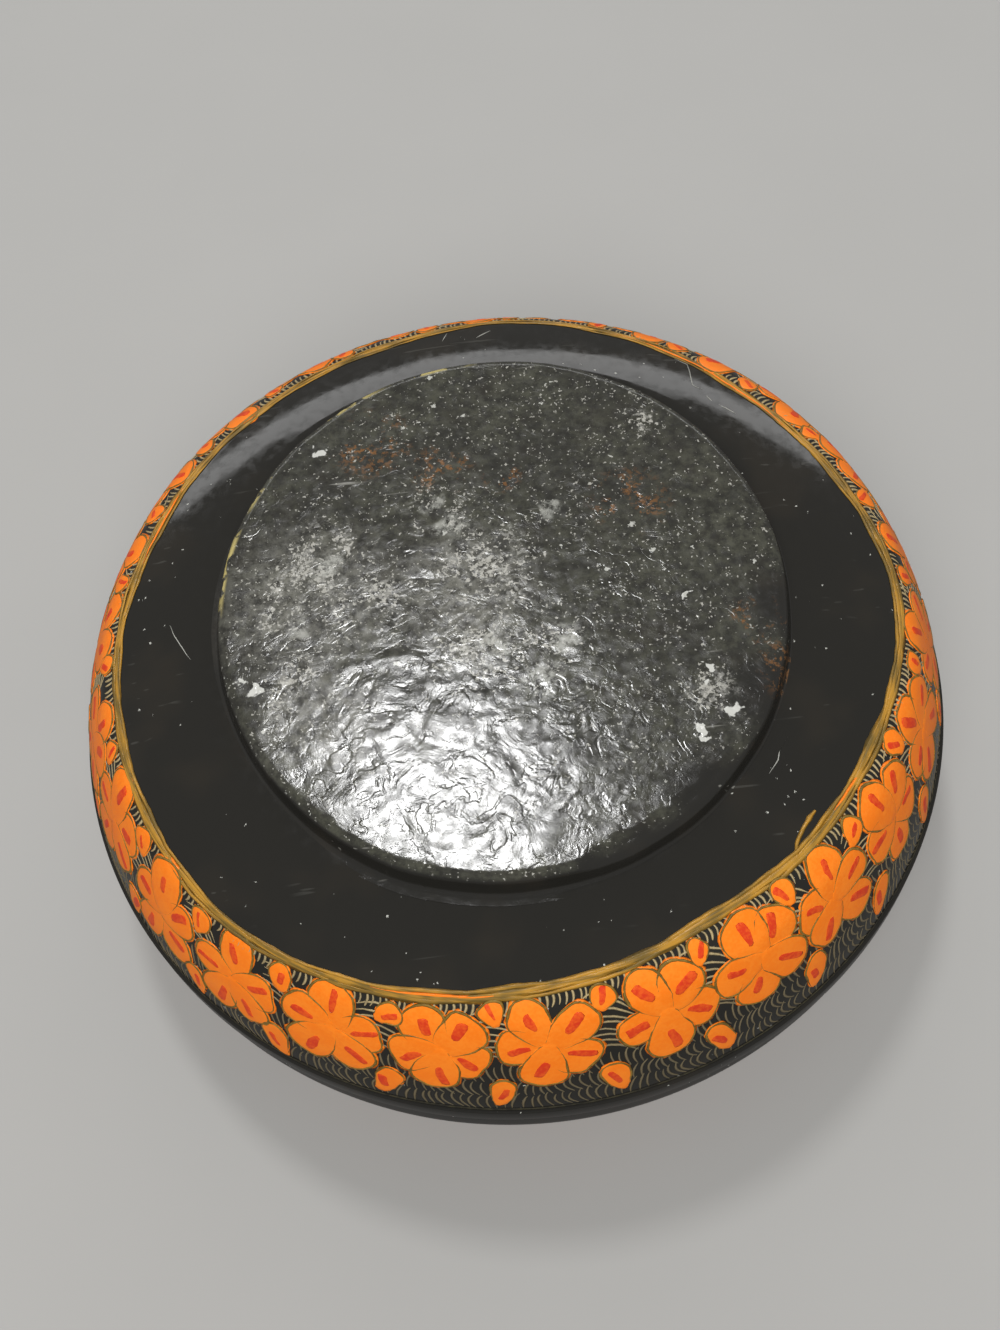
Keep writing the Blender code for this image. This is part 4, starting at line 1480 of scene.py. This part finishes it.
class BOX_OT_base_band(bpy.types.Operator):
    """Painted flower band round the side of the base"""

    bl_idname = "papier_box.base_band"
    bl_label = "Base flower band"

    def execute(self, context):
        outside, start = base_outside(context.scene.box_shape)
        skin = Skin(outside, start, 1)
        paint_band(context, context.scene.base_design, skin, "base", BASE_FREE, BASE_PHASE)
        gold = bpy.data.materials["gold_paint"]
        self.lay(context, skin, "base_brush_tail", self.brush_tail(context.scene.base_design, gold), gold)
        finish = context.scene.box_finish
        pale = brush_paint("pale_scratch", finish.dust, finish.scuff_and_glint, (1.0, 1.0, 1.0), 2.0 * MM,
                           0.3 * MM, 0.6)
        scratches = self.ring_scratches(context.scene.base_design, pale)
        self.lay(context, skin, "base_ring_scratches", scratches, pale)
        return {"FINISHED"}

    def lay(self, context, skin, name, mesh, material):
        """Lay brushwork on the base and make it a piece."""
        scene = context.scene
        lay_on_wall(mesh, skin, scene.base_design, scene.box_shape, BASE_FREE, BASE_PHASE)
        add_piece(name, mesh, material, "base")

    def brush_tail(self, design, gold):
        """Loose tail where the brush left the gold ring, with a blob at its end."""
        points = []
        widths = []
        for step in range(TAIL_STEPS + 1):
            part = step / TAIL_STEPS
            turn = math.radians(TAIL_START + TAIL_SWEEP * part ** 1.3)
            rise = TAIL_RISE * math.sin(part * math.pi / 2) ** 0.8
            points.append((turn * design.reference_radius, rise - line_drop(turn), 0.3 * design.thickness))
            narrowing = 0.62 - 0.3 * part
            blob = 0.25 if part > 0.8 else 0.0
            widths.append((narrowing + blob) * MM)
        return brush_line(points, widths, 2.0, gold, 0.25, ends=0.5)

    def ring_scratches(self, design, pale):
        """Hair scratches in the ring's lacquer that show pale."""
        hairs = []
        for run in RING_SCRATCHES:
            points = []
            for here, there in zip(run, run[1:]):
                first_step = 1 if points else 0
                for step in range(first_step, SCRATCH_STEPS + 1):
                    part = step / SCRATCH_STEPS
                    turn = math.radians(here[0] + (there[0] - here[0]) * part)
                    rise = here[1] + (there[1] - here[1]) * part
                    points.append((turn * design.reference_radius, rise * MM, 0.02 * MM))
            hairs.append(brush_line(points, [SCRATCH_WIDTH] * len(points), 4.0, pale, 0.3, ends=0.3))
        return joined("ring_scratches", hairs)


class BOX_OT_lid_band(bpy.types.Operator):
    """Painted flower band round the side of the lid"""

    bl_idname = "papier_box.lid_band"
    bl_label = "Lid flower band"

    def execute(self, context):
        outside, start = lid_outside(context.scene.box_shape)
        outline = outside[::-1]
        skin = Skin(outline, len(outline) - 1 - start, -1)
        paint_band(context, context.scene.lid_design, skin, "lid", LID_FREE, LID_PHASE)
        return {"FINISHED"}


class BOX_OT_crown_flower(bpy.types.Operator):
    """Painted flower in the hollow of the lid's crown"""

    bl_idname = "papier_box.crown_flower"
    bl_label = "Crown flower"

    def execute(self, context):
        scene = context.scene
        design = scene.base_design

        def lay(name, mesh, material):
            self.lay_in_crown(mesh, scene.box_shape)
            add_piece(f"lid_crown_{name}", mesh, material, "lid")

        paint_flowers(CrownDrawing(design), design, paint_materials(scene.box_finish, design), lay)
        return {"FINISHED"}

    def lay_in_crown(self, mesh, shape):
        """Turn a flat drawing face down and lay it in the crown's hollow."""
        drawn = keep_drawn(mesh)
        hollow = np.array(crown_hollow(shape))[::-1]
        ground = np.interp(np.hypot(drawn[:, 0], drawn[:, 1]), hollow[:, 0], hollow[:, 1])
        points = np.stack([drawn[:, 0], -drawn[:, 1], ground - drawn[:, 2]], axis=1)
        write_points(mesh, hand_made(points, shape, LID_FREE, LID_PHASE))


class BOX_OT_stage(bpy.types.Operator):
    """Pale floor, soft studio light and the camera"""

    bl_idname = "papier_box.stage"
    bl_label = "Stage"

    def execute(self, context):
        scene = context.scene
        self.add_floor(scene)
        self.add_world(scene)
        self.add_lamp("back_lamp", BRIGHT_PATCH, elevation=66, bearing=98, distance=0.75,
                      width=0.11, height=0.11, power=1.6)
        self.add_lamp("back_card", FOCUS, elevation=30.5, bearing=88, distance=1.0,
                      width=1.5, height=0.15, power=2.0)
        fill = self.add_lamp("front_fill", FOCUS, elevation=52, bearing=262, distance=1.2,
                             width=0.9, height=0.9, power=12.0)
        fill.visible_glossy = False
        self.add_camera(scene)
        scene.view_settings.view_transform = "Standard"
        return {"FINISHED"}

    def add_floor(self, scene):
        """Floor that is pale to the camera and darker to the rays that the lacquer mirrors."""
        finish = scene.box_finish
        half = 3.0
        corners = [(-half, -half, 0), (half, -half, 0), (half, half, 0), (-half, half, 0)]
        mesh = bpy.data.meshes.new("floor")
        mesh.from_pydata(corners, [], [(0, 1, 2, 3)])
        material, tree, shader = start_material("pale_floor")
        place = object_place(tree)
        seen = new_node(tree, "ShaderNodeLightPath").outputs["Is Camera Ray"]
        grain = noise(tree, place, 40.0, 3.0)["Fac"]
        near = mixed(tree, seen, self.shaded(finish.floor, 0.35),
                     mixed(tree, grain, self.shaded(finish.floor, 0.96), finish.floor))
        far = product(tree, eased(tree, vector_length(tree, place), 0.25, 1.6), seen)
        fill_shader(tree, shader, Base_Color=mixed(tree, far, near, finish.far_floor), Roughness=0.85,
                    Specular_IOR_Level=0.2, Emission_Strength=1.0,
                    Emission_Color=mixed(tree, far, (0.0, 0.0, 0.0, 1.0), finish.far_glow))
        mesh.materials.append(material)
        floor = bpy.data.objects.new("floor", mesh)
        scene.collection.objects.link(floor)

    def shaded(self, colour, share):
        """A darker tone of a colour."""
        return [value * share for value in colour[:3]] + [1.0]

    def add_world(self, scene):
        """Surroundings that are paler to the camera than to the box."""
        world = bpy.data.worlds.new("studio")
        scene.world = world
        world.use_nodes = True
        tree = world.node_tree
        seen = new_node(tree, "ShaderNodeLightPath").outputs["Is Camera Ray"]
        colour = mixed(tree, seen, scene.box_finish.sky, scene.box_finish.backdrop)
        tree.links.new(colour, tree.nodes["Background"].inputs["Color"])

    def add_lamp(self, name, target, elevation, bearing, distance, width, height, power):
        """Oval area lamp that points at a target from a rise and a bearing in degrees."""
        lamp = bpy.data.lights.new(name, "AREA")
        lamp.shape = "ELLIPSE"
        lamp.size = width
        lamp.size_y = height
        lamp.energy = power
        turn = math.radians(bearing)
        rise = math.radians(elevation)
        away = Vector((math.cos(rise) * math.cos(turn), math.cos(rise) * math.sin(turn), math.sin(rise)))
        placed = bpy.data.objects.new(name, lamp)
        aim = away.to_track_quat("Z", "Y").to_matrix().to_4x4()
        placed.matrix_world = Matrix.Translation(target + away * distance) @ aim
        bpy.context.scene.collection.objects.link(placed)
        return placed

    def add_camera(self, scene):
        """Camera at the photograph's angle, in front of the box, looking down and a little turned."""
        rise = math.radians(CAMERA_RISE)
        roll = math.radians(CAMERA_ROLL)
        back = Vector((0.0, -math.cos(rise), math.sin(rise)))
        right = Vector((1.0, 0.0, 0.0))
        up = back.cross(right)
        tilted_right = right * math.cos(roll) + up * math.sin(roll)
        tilted_up = up * math.cos(roll) - right * math.sin(roll)
        wide, high = PHOTO_SIZE
        lens = bpy.data.cameras.new("camera")
        lens.sensor_fit = "HORIZONTAL"
        lens.sensor_width = CAMERA_SENSOR
        lens.lens = CAMERA_LENS
        lens.shift_x = (wide / 2 - PHOTO_AXIS[0]) / wide
        lens.shift_y = (PHOTO_AXIS[1] - high / 2) / wide
        lens.clip_start = 0.01
        camera = bpy.data.objects.new("camera", lens)
        place = Matrix((tilted_right, tilted_up, back)).transposed().to_4x4()
        place.translation = FOCUS + back * CAMERA_DISTANCE
        camera.matrix_world = place
        scene.collection.objects.link(camera)
        scene.camera = camera


class BOX_PT_panel(bpy.types.Panel):
    """Sidebar list of the box's pieces and sizes"""

    bl_idname = "BOX_PT_panel"
    bl_label = "Papier mache box"
    bl_space_type = "VIEW_3D"
    bl_region_type = "UI"
    bl_category = "Box"

    def draw(self, context):
        for operator in OPERATORS:
            self.layout.operator(operator.bl_idname)
        for group in ("box_shape", "base_design", "lid_design", "box_finish"):
            column = self.layout.column(heading=group)
            settings = getattr(context.scene, group)
            for name in settings.bl_rna.properties.keys():
                if name not in ("rna_type", "name"):
                    column.prop(settings, name)


OPERATORS = (BOX_OT_base_shell, BOX_OT_foot_disc, BOX_OT_neck_collar, BOX_OT_lid_shell, BOX_OT_base_band,
             BOX_OT_lid_band, BOX_OT_crown_flower, BOX_OT_stage)
CLASSES = (BoxShape, BandDesign, BoxFinish) + OPERATORS + (BOX_PT_panel,)


def register():
    """Register the classes and put their settings on the scene."""
    for each in CLASSES:
        bpy.utils.register_class(each)
    bpy.types.Scene.box_shape = bpy.props.PointerProperty(type=BoxShape)
    bpy.types.Scene.base_design = bpy.props.PointerProperty(type=BandDesign)
    bpy.types.Scene.lid_design = bpy.props.PointerProperty(type=BandDesign)
    bpy.types.Scene.box_finish = bpy.props.PointerProperty(type=BoxFinish)


def unregister():
    """Take the settings and the classes away again."""
    for name in ("box_shape", "base_design", "lid_design", "box_finish"):
        delattr(bpy.types.Scene, name)
    for each in reversed(CLASSES):
        bpy.utils.unregister_class(each)


def main():
    """Make every piece and the stage."""
    register()
    lid_design = bpy.context.scene.lid_design
    lid_design.flowers = 36
    lid_design.scale = 0.64
    lid_design.flower_drop = 4.6 * MM
    lid_design.bud_drop = 8.6 * MM
    lid_design.band_height = 10.8 * MM
    lid_design.seed = 23
    for operator in OPERATORS:
        group, name = operator.bl_idname.split(".")
        getattr(getattr(bpy.ops, group), name)()


if __name__ == "__main__":
    main()
